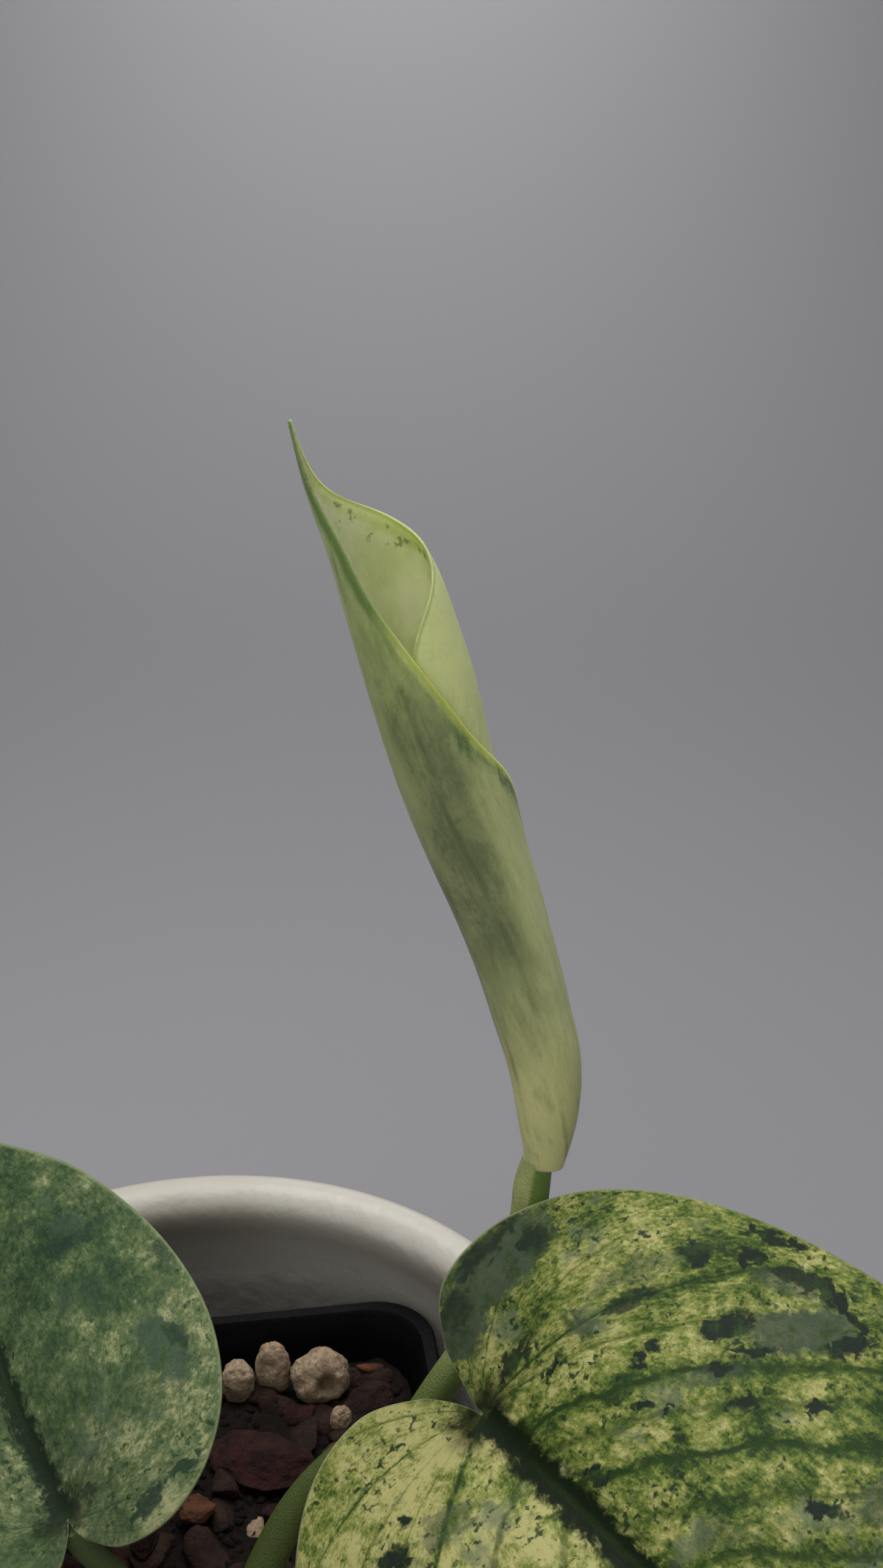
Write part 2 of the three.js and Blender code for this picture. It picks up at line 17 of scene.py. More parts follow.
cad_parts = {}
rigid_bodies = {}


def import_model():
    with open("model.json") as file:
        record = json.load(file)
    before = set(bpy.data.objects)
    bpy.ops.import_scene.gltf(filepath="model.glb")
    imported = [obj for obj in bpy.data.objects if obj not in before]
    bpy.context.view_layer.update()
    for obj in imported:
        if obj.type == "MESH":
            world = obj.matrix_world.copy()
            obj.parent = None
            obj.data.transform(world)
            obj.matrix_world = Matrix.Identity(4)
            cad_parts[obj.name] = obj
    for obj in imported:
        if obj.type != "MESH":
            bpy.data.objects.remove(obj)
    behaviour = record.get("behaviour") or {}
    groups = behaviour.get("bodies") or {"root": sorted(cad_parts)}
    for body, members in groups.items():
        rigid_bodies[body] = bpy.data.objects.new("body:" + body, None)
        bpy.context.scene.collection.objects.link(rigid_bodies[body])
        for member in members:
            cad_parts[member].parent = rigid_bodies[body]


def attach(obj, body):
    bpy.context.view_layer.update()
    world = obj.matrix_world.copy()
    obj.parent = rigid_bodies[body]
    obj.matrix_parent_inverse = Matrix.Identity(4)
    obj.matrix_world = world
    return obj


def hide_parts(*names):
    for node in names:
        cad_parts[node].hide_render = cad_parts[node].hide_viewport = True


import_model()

LOG = logging.getLogger("scindapsus")
MM = 0.001
PER_METRE = 1000.0
BODY = "root"
PLANE_UV = "blade_plane"
FLOW_UV = "vein_flow"
RIM_UV = "rim_distance"
SKIN_PLACE = "skin_place"
PLANE_SPAN = 100.0
RIM_SPAN = 20.0
WELD = 0.01
SHALLOW = 0.0003
LEAF_FLESH = {"Subsurface_Radius": (0.004, 0.006, 0.002), "Subsurface_Scale": 0.3}
SCROLL_FLESH = {
    "Subsurface_Weight": 0.55, "Subsurface_Radius": (0.0045, 0.0055, 0.002), "Subsurface_Scale": 0.6,
}
Colour = tuple[int, int, int]
Point = tuple[float, float, float]
Pairs = tuple[tuple[float, float], ...]
Cells = list[tuple[int, int]]


class Face(Enum):
    """Which face of a blade a finish is for."""

    UPPER = 0
    UNDER = 1


class Lump(Enum):
    """What a placed lump of the mix is made of."""

    STONE = "stone"
    BARK = "bark"


def linear(colour: Colour) -> tuple[float, float, float, float]:
    """Turns an 8-bit display colour into a linear one.

    Args:
        colour: Red, green and blue, 0 to 255.

    Returns:
        Linear red, green, blue and alpha.
    """
    shares = [c / 255 for c in colour]
    straight = [c / 12.92 if c <= 0.04045 else ((c + 0.055) / 1.055) ** 2.4 for c in shares]
    return (*straight, 1.0)


def catmull(rows: np.ndarray, shares: np.ndarray) -> np.ndarray:
    """Uniform Catmull-Rom values through equally long rows.

    Args:
        rows: Table of n rows.
        shares: Places along the table, 0 to 1.

    Returns:
        One row for each share.
    """
    last = len(rows) - 1
    place = last * np.clip(shares, 0, 1)
    i = np.minimum(np.floor(place).astype(int), last)
    w = (place - i)[:, None]
    before, here = rows[np.maximum(i - 1, 0)], rows[i]
    ahead, after = rows[np.minimum(i + 1, last)], rows[np.minimum(i + 2, last)]
    v0, v1 = (ahead - before) * 0.5, (after - here) * 0.5
    return (2 * here - 2 * ahead + v0 + v1) * w**3 + (3 * ahead - 3 * here - 2 * v0 - v1) * w**2 + v0 * w + here


def grid_normals(points: np.ndarray) -> np.ndarray:
    """Unit normals of a grid of points, from its rows and columns.

    Args:
        points: Grid of shape rows, columns, 3.

    Returns:
        Normals of the same shape, along rows crossed with columns.
    """
    normals = np.cross(np.gradient(points, axis=0), np.gradient(points, axis=1))
    size = np.linalg.norm(normals, axis=-1, keepdims=True)
    return normals / np.maximum(size, 1e-12)


def shown(name: str, data: bpy.types.ID) -> bpy.types.Object:
    """Makes an object of some data and links it to the scene.

    Args:
        name: Object name.
        data: Its mesh, curve, light or camera.

    Returns:
        The object.
    """
    thing = bpy.data.objects.new(name, data)
    bpy.context.scene.collection.objects.link(thing)
    return thing


def written(work: bmesh.types.BMesh, name: str) -> bpy.types.Mesh:
    """Writes worked geometry to a new mesh and frees it.

    Args:
        work: Worked geometry.
        name: Mesh name.

    Returns:
        The mesh.
    """
    mesh = bpy.data.meshes.new(name)
    work.to_mesh(mesh)
    work.free()
    return mesh


def smoothed(mesh: bpy.types.Mesh) -> bpy.types.Mesh:
    """Shades every face of a mesh smooth."""
    mesh.polygons.foreach_set("use_smooth", np.ones(len(mesh.polygons), bool))
    return mesh


def evaluated(thing: bpy.types.Object) -> bpy.types.Mesh:
    """A new mesh of what a piece's modifiers make of it.

    Args:
        thing: Piece with modifiers.

    Returns:
        The mesh.
    """
    bpy.context.view_layer.update()
    graph = bpy.context.evaluated_depsgraph_get()
    return bpy.data.meshes.new_from_object(thing.evaluated_get(graph))


def joined(parts: list[bpy.types.Object], name: str) -> bpy.types.Object:
    """Joins pieces into the first of them and names it.

    Args:
        parts: Pieces to join.
        name: Name of the whole.

    Returns:
        The whole.
    """
    with bpy.context.temp_override(active_object=parts[0], selected_editable_objects=parts):
        bpy.ops.object.join()
    parts[0].name = name
    return parts[0]


def stands_for(thing: bpy.types.Object, node: str) -> bpy.types.Object:
    """Lets a piece ride the body in place of a solid, which it hides.

    Args:
        thing: New piece.
        node: Solid that it stands for.

    Returns:
        The same piece.
    """
    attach(thing, BODY)
    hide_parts(node)
    return thing


def skinned(work: bmesh.types.BMesh, levels: list[list[Point]]) -> list[list[bmesh.types.BMVert]]:
    """Skins closed levels of points from the first to the last.

    Args:
        work: Geometry that takes the skin.
        levels: Points in millimetres; a level of one point is a tip, and the other ends get a cap.

    Returns:
        The new points, level by level.
    """
    rings = [[work.verts.new([c * MM for c in p]) for p in level] for level in levels]
    for low, high in zip(rings, rings[1:]):
        count = max(len(low), len(high))
        for i in range(count):
            j = (i + 1) % count
            if len(low) == 1:
                work.faces.new((low[0], high[j], high[i]))
            elif len(high) == 1:
                work.faces.new((low[i], low[j], high[0]))
            else:
                work.faces.new((low[i], low[j], high[j], high[i]))
    for ring, cap in ((rings[0], rings[0][::-1]), (rings[-1], rings[-1])):
        if len(ring) > 1:
            work.faces.new(cap)
    return rings


@dataclass
class Sheet:
    """A grid of points with what its finish reads at each of them."""

    points: np.ndarray
    plane: np.ndarray
    flow: np.ndarray
    rim: np.ndarray


class Surface:
    """Builds one mesh from grids that carry the blade's UV maps."""

    def __init__(self, name: str) -> None:
        """Starts an empty mesh.

        Args:
            name: Name of the mesh and its object.
        """
        self.name = name
        self.points: list[np.ndarray] = []
        self.maps: dict[str, list[np.ndarray]] = {PLANE_UV: [], FLOW_UV: [], RIM_UV: []}
        self.faces: list[tuple[int, ...]] = []
        self.slots: list[int] = []
        self.count = 0

    def add_points(self, points: np.ndarray, sheet: Sheet) -> int:
        """Adds points with the map values of a sheet.

        Args:
            points: Points in millimetres, as many as the sheet has.
            sheet: Sheet whose maps they take.

        Returns:
            Index of the first of them.
        """
        start = self.count
        self.points.append(points.reshape(-1, 3))
        maps = ((PLANE_UV, sheet.plane / PLANE_SPAN), (FLOW_UV, sheet.flow), (RIM_UV, sheet.rim / RIM_SPAN))
        for key, value in maps:
            self.maps[key].append(value.reshape(-1, 2))
        self.count += len(self.points[-1])
        return start

    def add_faces(self, faces: list[tuple[int, ...]], slot: Face) -> None:
        """Adds faces by point index, with their material slot."""
        self.faces.extend(faces)
        self.slots.extend([slot.value] * len(faces))

    def add_blade(self, sheet: Sheet, lower: np.ndarray, corners: Cells, loop: Cells,
                  flip: bool = False) -> None:
        """Adds a closed blade between a sheet and its lower face.

        Args:
            sheet: Upper face as a grid.
            lower: Points of the lower face.
            corners: Row and column steps to the corners of one quad of the upper face.
            loop: Rows and columns along the open edge.
            flip: Whether the quads turn the other way round.
        """
        rows, columns = sheet.points.shape[:2]
        top, bottom = self.add_points(sheet.points, sheet), self.add_points(lower, sheet)
        turn = -1 if flip else 1
        quads = [tuple((i + down) * columns + j + across for down, across in corners)[::turn]
                 for i in range(rows - 1) for j in range(columns - 1)]
        self.add_faces([tuple(top + k for k in quad) for quad in quads], Face.UPPER)
        self.add_faces([tuple(bottom + k for k in quad[::-1]) for quad in quads], Face.UNDER)
        edge = [i * columns + j for i, j in loop]
        self.add_faces([(top + p, bottom + p, bottom + q, top + q)[::turn] for p, q in zip(edge, edge[1:])],
                       Face.UPPER)

    def build(self, materials: list[bpy.types.Material]) -> bpy.types.Object:
        """Makes the object, merges its doubles and shades it smooth.

        Args:
            materials: One material for each slot.

        Returns:
            The new object.
        """
        mesh = bpy.data.meshes.new(self.name)
        points = np.concatenate(self.points) * MM
        mesh.from_pydata(points.tolist(), [], self.faces)
        loops = np.empty(len(mesh.loops), np.int32)
        mesh.loops.foreach_get("vertex_index", loops)
        for key, parts in self.maps.items():
            layer = mesh.uv_layers.new(name=key)
            layer.data.foreach_set("uv", np.concatenate(parts)[loops].astype(np.float32).ravel())
        mesh.polygons.foreach_set("material_index", np.array(self.slots, np.int32))
        for material in materials:
            mesh.materials.append(material)
        work = bmesh.new()
        work.from_mesh(mesh)
        bmesh.ops.remove_doubles(work, verts=work.verts, dist=WELD * MM)
        bmesh.ops.dissolve_degenerate(work, edges=work.edges, dist=WELD * MM * 0.5)
        work.to_mesh(mesh)
        work.free()
        return shown(self.name, smoothed(mesh))


class Value:
    """An output socket that is reckoned with like a number or a vector."""

    def __init__(self, writer: "NodeWriter", socket: bpy.types.NodeSocket) -> None:
        """Keeps the socket and the writer of its tree."""
        self.writer = writer
        self.socket = socket

    def reckon(self, operation: str, *terms: object) -> "Value":
        """Result of a Math node, or of a Vector Math node where the socket is a vector.

        Args:
            operation: Operation of the node.
            terms: Sockets, numbers or vectors.

        Returns:
            The result.
        """
        kind = "ShaderNodeMath" if self.socket.type == "VALUE" else "ShaderNodeVectorMath"
        output = "Value" if operation == "LENGTH" else 0
        return self.writer.value(kind, dict(enumerate(terms)), output, operation=operation)

    def __add__(self, other: object) -> "Value":
        """Sum."""
        return self.reckon("ADD", self, other)

    def __sub__(self, other: object) -> "Value":
        """Difference."""
        return self.reckon("SUBTRACT", self, other)

    def __rsub__(self, other: object) -> "Value":
        """Difference from a number."""
        return self.reckon("SUBTRACT", other, self)

    def __mul__(self, other: object) -> "Value":
        """Product."""
        return self.reckon("MULTIPLY", self, other)

    def __truediv__(self, other: object) -> "Value":
        """Quotient."""
        return self.reckon("DIVIDE", self, other)

    def __abs__(self) -> "Value":
        """Size without the sign."""
        return self.reckon("ABSOLUTE", self)

    def most(self, other: object) -> "Value":
        """The larger of two values."""
        return self.reckon("MAXIMUM", self, other)

    def size(self) -> "Value":
        """Length of a vector."""
        return self.reckon("LENGTH", self)

    def split(self) -> list["Value"]:
        """A vector's x, y and z."""
        node = self.writer.node("ShaderNodeSeparateXYZ", {0: self})
        return [Value(self.writer, socket) for socket in node.outputs]

    def step(self, low: float, high: float, start: float = 0.0, end: float = 1.0) -> "Value":
        """Smooth step between two limits, from a start to an end."""
        inputs = {"From Min": low, "From Max": high, "To Min": start, "To Max": end, "Value": self}
        return self.writer.value("ShaderNodeMapRange", inputs, interpolation_type="SMOOTHSTEP")

    def fade(self, low: float, high: float, most: float = 1.0) -> "Value":
        """Smooth step down to nothing between two limits."""
        return self.step(low, high, most, 0.0)


class NodeWriter:
    """Adds nodes to a tree, with what goes into them."""

    tree: bpy.types.NodeTree

    def put(self, socket: bpy.types.NodeSocket, value: object) -> None:
        """Links a socket to a value or to an output, or sets it.

        Args:
            socket: Input that is filled.
            value: What goes into it.
        """
        source = value.socket if isinstance(value, Value) else value
        if isinstance(source, bpy.types.NodeSocket):
            self.tree.links.new(source, socket)
        else:
            socket.default_value = linear(value) if socket.type == "RGBA" else value

    def node(self, kind: str, inputs: dict, **settings: object) -> bpy.types.Node:
        """A new node.

        Args:
            kind: Type of node.
            inputs: What goes into its sockets, by name or number.
            settings: Its properties.

        Returns:
            The node.
        """
        made = self.tree.nodes.new(kind)
        for key, value in settings.items():
            setattr(made, key, value)
        for key, value in inputs.items():
            self.put(made.inputs[key], value)
        return made

    def value(self, kind: str, inputs: dict, output: str | int = 0, **settings: object) -> Value:
        """One output of a new node, with the node's inputs and settings as above."""
        return Value(self, self.node(kind, inputs, **settings).outputs[output])


class Paint(NodeWriter):
    """Writes a material's nodes in short steps."""

    def __init__(self, name: str) -> None:
        """Makes the material with its shader and output.

        Args:
            name: Name of the material.
        """
        self.material = bpy.data.materials.new(name)
        self.material.use_nodes = True
        self.tree = self.material.node_tree
        self.tree.nodes.clear()
        self.shader = self.node("ShaderNodeBsdfPrincipled", {})
        self.node("ShaderNodeOutputMaterial", {"Surface": Value(self, self.shader.outputs["BSDF"])})

    def mix(self, share: object, a: object, b: object) -> Value:
        """Blend of two colours."""
        return self.value("ShaderNodeMix", {"Factor": share, 6: a, 7: b}, 2, data_type="RGBA")

    def noise(self, vector: Value, scale: float, detail: float = 4.0, rough: float = 0.55,
              warp: float = 0.0, output: str = "Fac") -> Value:
        """Noise value at a vector."""
        inputs = {"Scale": scale, "Detail": detail, "Roughness": rough, "Distortion": warp, "Vector": vector}
        return self.value("ShaderNodeTexNoise", inputs, output)

    def ramp(self, value: Value, stops: tuple[tuple[float, Colour], ...]) -> Value:
        """Colours along a value from 0 to 1.

        Args:
            value: Place along the colours.
            stops: Places with their colours.

        Returns:
            The colour.
        """
        node = self.node("ShaderNodeValToRGB", {"Fac": value})
        marks = node.color_ramp.elements
        while len(marks) < len(stops):
            marks.new(0.5)
        for mark, (place, colour) in zip(marks, stops):
            mark.position = place
            mark.color = linear(colour)
        return Value(self, node.outputs["Color"])

    def uv(self, name: str, span: float = 1.0) -> Value:
        """A UV map of the piece, times its span."""
        return self.value("ShaderNodeUVMap", {}, uv_map=name) * (span, span, 0.0)

    def place(self, stretch: Point = (1.0, 1.0, 1.0)) -> Value:
        """The piece's own coordinates, in millimetres times a stretch."""
        return self.value("ShaderNodeTexCoord", {}, "Object") * tuple(PER_METRE * c for c in stretch)

    def join(self, x: object, y: object, z: object = 0.0) -> Value:
        """A vector from x, y and z."""
        return self.value("ShaderNodeCombineXYZ", {0: x, 1: y, 2: z})

    def bump(self, height: Value, depth: float = SHALLOW) -> Value:
        """A normal tilted by a height, with its depth in metres."""
        return self.value("ShaderNodeBump", {"Strength": 1.0, "Distance": depth, "Height": height})

    def finish(self, colour: object, rough: object, **settings: object) -> bpy.types.Material:
        """Sets the shader's colour, roughness and any further sockets.

        Args:
            colour: Base colour.
            rough: Roughness.
            settings: Further sockets by name, with underscores for spaces.

        Returns:
            The material.
        """
        for key, value in ({"Base Color": colour, "Roughness": rough} | settings).items():
            self.put(self.shader.inputs[key.replace("_", " ")], value)
        return self.material


@dataclass(frozen=True)
class Blotch:
    """A dark patch on a blade: centre, half sizes in millimetres and turn in degrees."""

    x: float
    y: float
    across: float
    along: float
    turn: float
    strength: float = 1.0


def spots(*rows: tuple[float, ...]) -> tuple[Blotch, ...]:
    """Patches from rows of their numbers."""
    return tuple(Blotch(*row) for row in rows)


@dataclass(frozen=True)
class MottledUpper:
    """Upper face of a silver cloud leaf: pale and green mottling in several sizes, darker along the veins, and
    a paler tone on one side and near the base that is partly painted light.
    """

    name: str
    tones: tuple[Colour, Colour, Colour, Colour]
    haze: Colour
    dark: Colour
    grey: Colour
    fresh: Colour
    vein: Colour
    rib: Colour
    rim: Colour
    shift: float
    # Paler tone on the right side and near the base: partly the leaf's own pale mottling, partly painted light
    # for parts that face away from the lamps.
    right_paling_and_painted_light: float
    base_paling_and_painted_light: float
    edge_shift: float
    speck_share: float
    contrast: float
    rib_width: float
    length: float
    veins_left: Pairs
    veins_right: Pairs
    blotches: tuple[Blotch, ...]
    hazes: tuple[Blotch, ...]
    seed: float
    tone_places: tuple[float, float, float, float] = (0.1, 0.4, 0.66, 0.95)
    tone_spread: float = 0.115

    def build(self) -> bpy.types.Material:
        """Builds the material.

        Returns:
            The material.
        """
        p = Paint(self.name)
        plane = p.uv(PLANE_UV, PLANE_SPAN)
        x, y, _ = plane.split()
        t, s, _ = p.uv(FLOW_UV).split()
        rim = p.uv(RIM_UV, RIM_SPAN).split()[0]
        sway = p.noise(plane + (self.seed, 3.0, 0.0), 0.12, 3.0) - 0.5
        streak = p.join(t * 110.0, s * 26.0, self.seed) + p.join(sway * 4.0, 0.0)
        fine = p.noise(streak, 1.5, 6.0, 0.7)
        grit = p.noise(plane + (0.0, self.seed, 9.0), 1.6, 5.0, 0.75)
        mottle = p.noise(plane + (4.0, self.seed, 3.0), 0.42, 5.0, 0.62, 0.4)
        broad = p.noise(plane + (11.0, self.seed, 0.0), 0.11, 4.0)
        tone = fine * 0.26 + grit * 0.22 + mottle * 0.24 + broad * 0.28
        veins, bands = self.veins(t + sway * 0.02, s, y, fine, mottle)
        # Tone lifted on the right side and towards the base: partly the leaf's own paler mottling, partly
        # painted light where the blade faces away from the lamps.
        lift = y.step(-8.0, 3.0, self.shift + self.right_paling_and_painted_light, self.shift)
        lift = lift + x.fade(0.0, self.length * 0.45, self.base_paling_and_painted_light) + s.step(0.6, 0.9, 0.0, self.edge_shift)
        tone = tone + lift - bands * 0.05
        spread = self.tone_spread / self.contrast
        level = (tone - (0.5 - spread)) / (2 * spread)
        colour = p.ramp(level, tuple(zip(self.tone_places, self.tones)))
        mist = p.noise(plane + (self.seed, 40.0, 2.0), 0.1, 6.0, 0.62)
        colour = p.mix(mist.step(0.56, 0.66, 0.0, 0.7), colour, self.haze)
        cluster = p.noise(plane + (70.0, self.seed, 1.0), 0.13, 4.0, 0.6)
        drop = p.noise(plane + (31.0, 17.0, self.seed), 1.0, 3.0, 0.55, 0.2) + (cluster - 0.5) * 0.45
        for low, high, most, speck in ((0.59, 0.66, 0.8, self.fresh), (0.66, 0.71, 0.75, self.dark)):
            share = drop.step(low - self.speck_share, high - self.speck_share, 0.0, most)
            colour = p.mix(share, colour, speck)
        colour = p.mix(veins, colour, self.vein)
        moved = self.pushed(p, plane)
        inner = p.noise(plane + (5.0, 9.0, self.seed), 0.4, 6.0, 0.68)
        grey = p.mix(inner.step(0.36, 0.52), self.fresh, self.grey)
        colour = p.mix(self.patches(moved, self.hazes), colour, grey)
        deep = p.mix(inner.step(0.5, 0.66), self.dark, self.fresh)
        colour = p.mix(self.patches(moved, self.blotches), colour, deep)
        colour = self.midrib(p, colour, x, y, (fine - 0.5) * 3.0 + (mottle - 0.5) * 3.6)
        colour = p.mix(rim.fade(0.15, 0.6) * 0.7, colour, self.rim)
        normal = p.bump(fine * 0.5 + p.noise(plane, 0.9, 3.0) * 0.5)
        return p.finish(colour, fine.step(0.3, 0.7, 0.6, 0.48), Normal=normal, Sheen_Weight=0.02,
                        Sheen_Roughness=0.5, Specular_IOR_Level=0.1, Subsurface_Weight=0.06, **LEAF_FLESH)

    def veins(self, row: Value, s: Value, y: Value, fine: Value, mottle: Value) -> tuple[Value, Value]:
        """Side veins of the blade, broken up by its mottling.

        Args:
            row: Share of the way from tip to notch.
            s: Share of the way from midrib to margin.
            y: Place across the blade.
            fine: Fine noise that makes them ragged.
            mottle: Noise that breaks them.

        Returns:
            Shares of the veins and of the dark bands beside them.
        """
        row = row + (fine - 0.5) * 0.006
        lines: object = 0.0
        bands: object = 0.0
        for side, places in ((1.0, self.veins_left), (-1.0, self.veins_right)):
            here = (y * side).step(-0.1, 0.1)
            for place, strength in places:
                off = abs(row - place)
                lines = (off.fade(0.001, 0.0036, strength) * here).most(lines)
                bands = (off.fade(0.002, 0.013, strength) * here).most(bands)
        broken = mottle.step(0.36, 0.52, 0.5, 1.0)
        fade = s.step(0.6, 1.0, 1.0, 0.2) * broken
        return lines * fade, bands * (fade * broken)

    def pushed(self, p: Paint, plane: Value) -> Value:
        """Blade place moved by cells and noise, for patches with blocky and ragged edges.

        Args:
            p: Paint of the material.
            plane: Place in the blade.

        Returns:
            The moved place.
        """
        middle = (0.5, 0.5, 0.5)
        smooth = p.noise(plane, 0.6, 6.0, 0.65, output="Color") - middle
        cells = {"Scale": 0.9, "Vector": plane + (self.seed, 0.0, 0.0)}
        coarse = p.value("ShaderNodeTexVoronoi", cells, "Color") - middle
        return plane + smooth * (2.4, 2.4, 0.0) + coarse * (1.2, 1.2, 0.0)

    def patches(self, moved: Value, spots: tuple[Blotch, ...]) -> Value:
        """Share of the patches in a list.

        Args:
            moved: Place in the blade.
            spots: The patches.

        Returns:
            Share, 0 to 1.
        """
        share: object = 0.0
        for spot in spots:
            inputs = {
                "Location": (spot.x, spot.y, 0.0), "Rotation": (0.0, 0.0, math.radians(spot.turn)),
                "Scale": (spot.across, spot.along, 1.0), "Vector": moved,
            }
            away = moved.writer.value("ShaderNodeMapping", inputs, vector_type="TEXTURE").size()
            share = away.fade(0.74, 1.2, spot.strength).most(share)
        return share

    def midrib(self, p: Paint, colour: Value, x: Value, y: Value, edge: Value) -> Value:
        """Dark midrib valley, wide at the petiole and narrow at the tip, and the dark place at the petiole.

        Args:
            p: Paint of the material.
            colour: Colour so far.
            x: Place along the blade.
            y: Place across it.
            edge: Noise that makes the valley ragged.

        Returns:
            The new colour.
        """
        taper = x.step(0.0, self.length, self.rib_width, self.rib_width * 0.3)
        zone = ((abs(y) + edge) / taper).fade(0.45, 1.05) * x.step(-2.5, 1.5)
        around = p.join(x - 1.0, y * 0.8).size() + edge
        zone = zone.most(around.fade(self.rib_width * 0.5, self.rib_width * 1.8, 0.9))
        colour = p.mix(zone, colour, self.rib)
        return p.mix(abs(y).fade(0.15, 0.6, 0.3) * x.step(6.0, 16.0), colour, self.vein)


@dataclass(frozen=True)
class PaleUnder:
    """Underside of a leaf: even pale green with raised veins."""

    name: str
    base: Colour
    other: Colour
    rib: Colour = (150, 162, 112)

    def build(self) -> bpy.types.Material:
        """Builds the material.

        Returns:
            The material.
        """
        p = Paint(self.name)
        plane = p.uv(PLANE_UV, PLANE_SPAN)
        t, s, _ = p.uv(FLOW_UV).split()
        tone = p.noise(p.join(t * 60.0, s * 6.0, 7.0), 0.5, 6.0, 0.6).step(0.38, 0.64)
        colour = p.mix(abs(plane.split()[1]).fade(0.6, 1.6, 0.6), p.mix(tone, self.base, self.other), self.rib)
        return p.finish(colour, 0.55, Normal=p.bump(p.noise(plane, 0.8)), Specular_IOR_Level=0.35,
                        Subsurface_Weight=0.05, **LEAF_FLESH)


@dataclass(frozen=True)
class ScrollOutside:
    """Outer face of the rolled leaf: grey-green streaks that lie along the roll, a bright margin, and painted
    light that makes its flanks lighter.
    """

    name: str = "rolled leaf outside"
    light: Colour = (204, 210, 148)
    mid: Colour = (164, 172, 116)
    grey: Colour = (124, 134, 94)
    yellow: Colour = (234, 236, 156)
    # Lime colours the margin band and also the painted light on the flanks.
    lime: Colour = (222, 232, 160)
    edge: Colour = (168, 180, 84)
    rim: Colour = (150, 162, 100)
    line: Colour = (72, 100, 58)
    smudge: Colour = (128, 140, 98)
    thread: Colour = (98, 116, 72)
    smear: Colour = (74, 100, 78)

    def build(self) -> bpy.types.Material:
        """Builds the material.

        Returns:
            The material.
        """
        p = Paint(self.name)
        plane = p.uv(PLANE_UV, PLANE_SPAN)
        turn = plane.split()[0]
        share = p.uv(FLOW_UV).split()[0]
        margin, outer, _ = p.uv(RIM_UV, RIM_SPAN).split()
        streak = p.noise(plane * (1.0, 0.2, 1.0), 0.6, 7.0, 0.66, 0.3)
        broad = p.noise(plane * (1.0, 0.45, 1.0), 0.16, 5.0, 0.6)
        grain = p.noise(plane * (1.0, 0.6, 1.0), 1.6, 5.0, 0.75)
        colour = p.mix((streak * 0.6 + grain * 0.4).step(0.38, 0.62), self.mid, self.light)
        body = share.step(0.2, 0.34) * share.step(0.66, 0.84, 1.0, 0.15) * outer.step(1.6, 4.0)
        cloud = streak * 0.3 + broad * 0.45 + grain * 0.3
        # Painted light: the roll's right flank, and a strip by its left edge, are made lighter by where they
        # stand in the piece's frame, and the grey veil is kept off them.
        px, _, pz = p.place().split()
        lean = px + pz * 0.335 - 101.0
        painted_light_flank = (lean + streak * 3.0).step(3.0, 6.5, 0.0, 0.75)
        painted_light_flank = painted_light_flank.most(lean.fade(-7.0, -4.5, 0.5) * share.step(0.35, 0.55))
        veil = cloud.step(0.42, 0.6, 0.2, 1.0) * (body * 0.8 + 0.2) * (1.0 - painted_light_flank)
        colour = p.mix(veil, colour, self.grey)
        colour = p.mix(share.fade(0.1, 0.24) * broad.step(0.3, 0.46), colour, self.yellow)
        colour = p.mix(broad.step(0.5, 0.64) * share.step(0.05, 0.35, 0.4, 0.25), colour, self.smudge)
        waves = {"Scale": 0.055, "Distortion": 1.6, "Detail": 2.0, "Detail Scale": 0.5}
        waves["Vector"] = plane * (1.0, 0.1, 0.0)
        thread = p.value("ShaderNodeTexWave", waves, "Fac").step(0.92, 1.0, 0.0, 0.5) * broad.step(0.4, 0.6)
        colour = p.mix(thread, colour, self.thread)
        # Painted light: lime on the lit flanks.
        colour = p.mix(painted_light_flank * share.step(0.4, 0.6, 0.85, 0.3), colour, self.lime)
        colour = p.mix(turn.fade(-9.0, -3.0, 0.95), colour, self.lime)
        colour = p.mix(margin.fade(0.2, 0.7, 0.8), colour, self.rim)
        smear = outer.fade(2.2, 4.2) * (broad + (grain - 0.5) * 0.3).step(0.36, 0.5)
        smear = smear * (share.step(0.44, 0.5) * share.fade(0.58, 0.63))
        colour = p.mix(smear * 0.85, colour, self.smear)
        low_edge, high_edge = outer.step(0.9, 1.4) * outer.fade(1.6, 3.4, 0.45), outer.fade(0.9, 2.1)
        beside = low_edge + share.step(0.7, 0.78) * (high_edge - low_edge)
        colour = p.mix(beside * (share.step(0.42, 0.56) * 0.8), colour, self.line)
        bright = outer.fade(0.3, 1.3, 0.8) * share.fade(0.66, 0.76)
        bright = bright * (grain + outer.fade(0.0, 1.6, 0.3)).step(0.42, 0.56)
        colour = p.mix(bright * share.step(0.3, 0.44), colour, self.edge)
        normal = p.bump(streak + (thread * -0.4 + grain * 0.3), 0.0004)
        return p.finish(colour, 0.5, Normal=normal, Sheen_Weight=0.1, Sheen_Roughness=0.5,
                        Specular_IOR_Level=0.3, **SCROLL_FLESH)


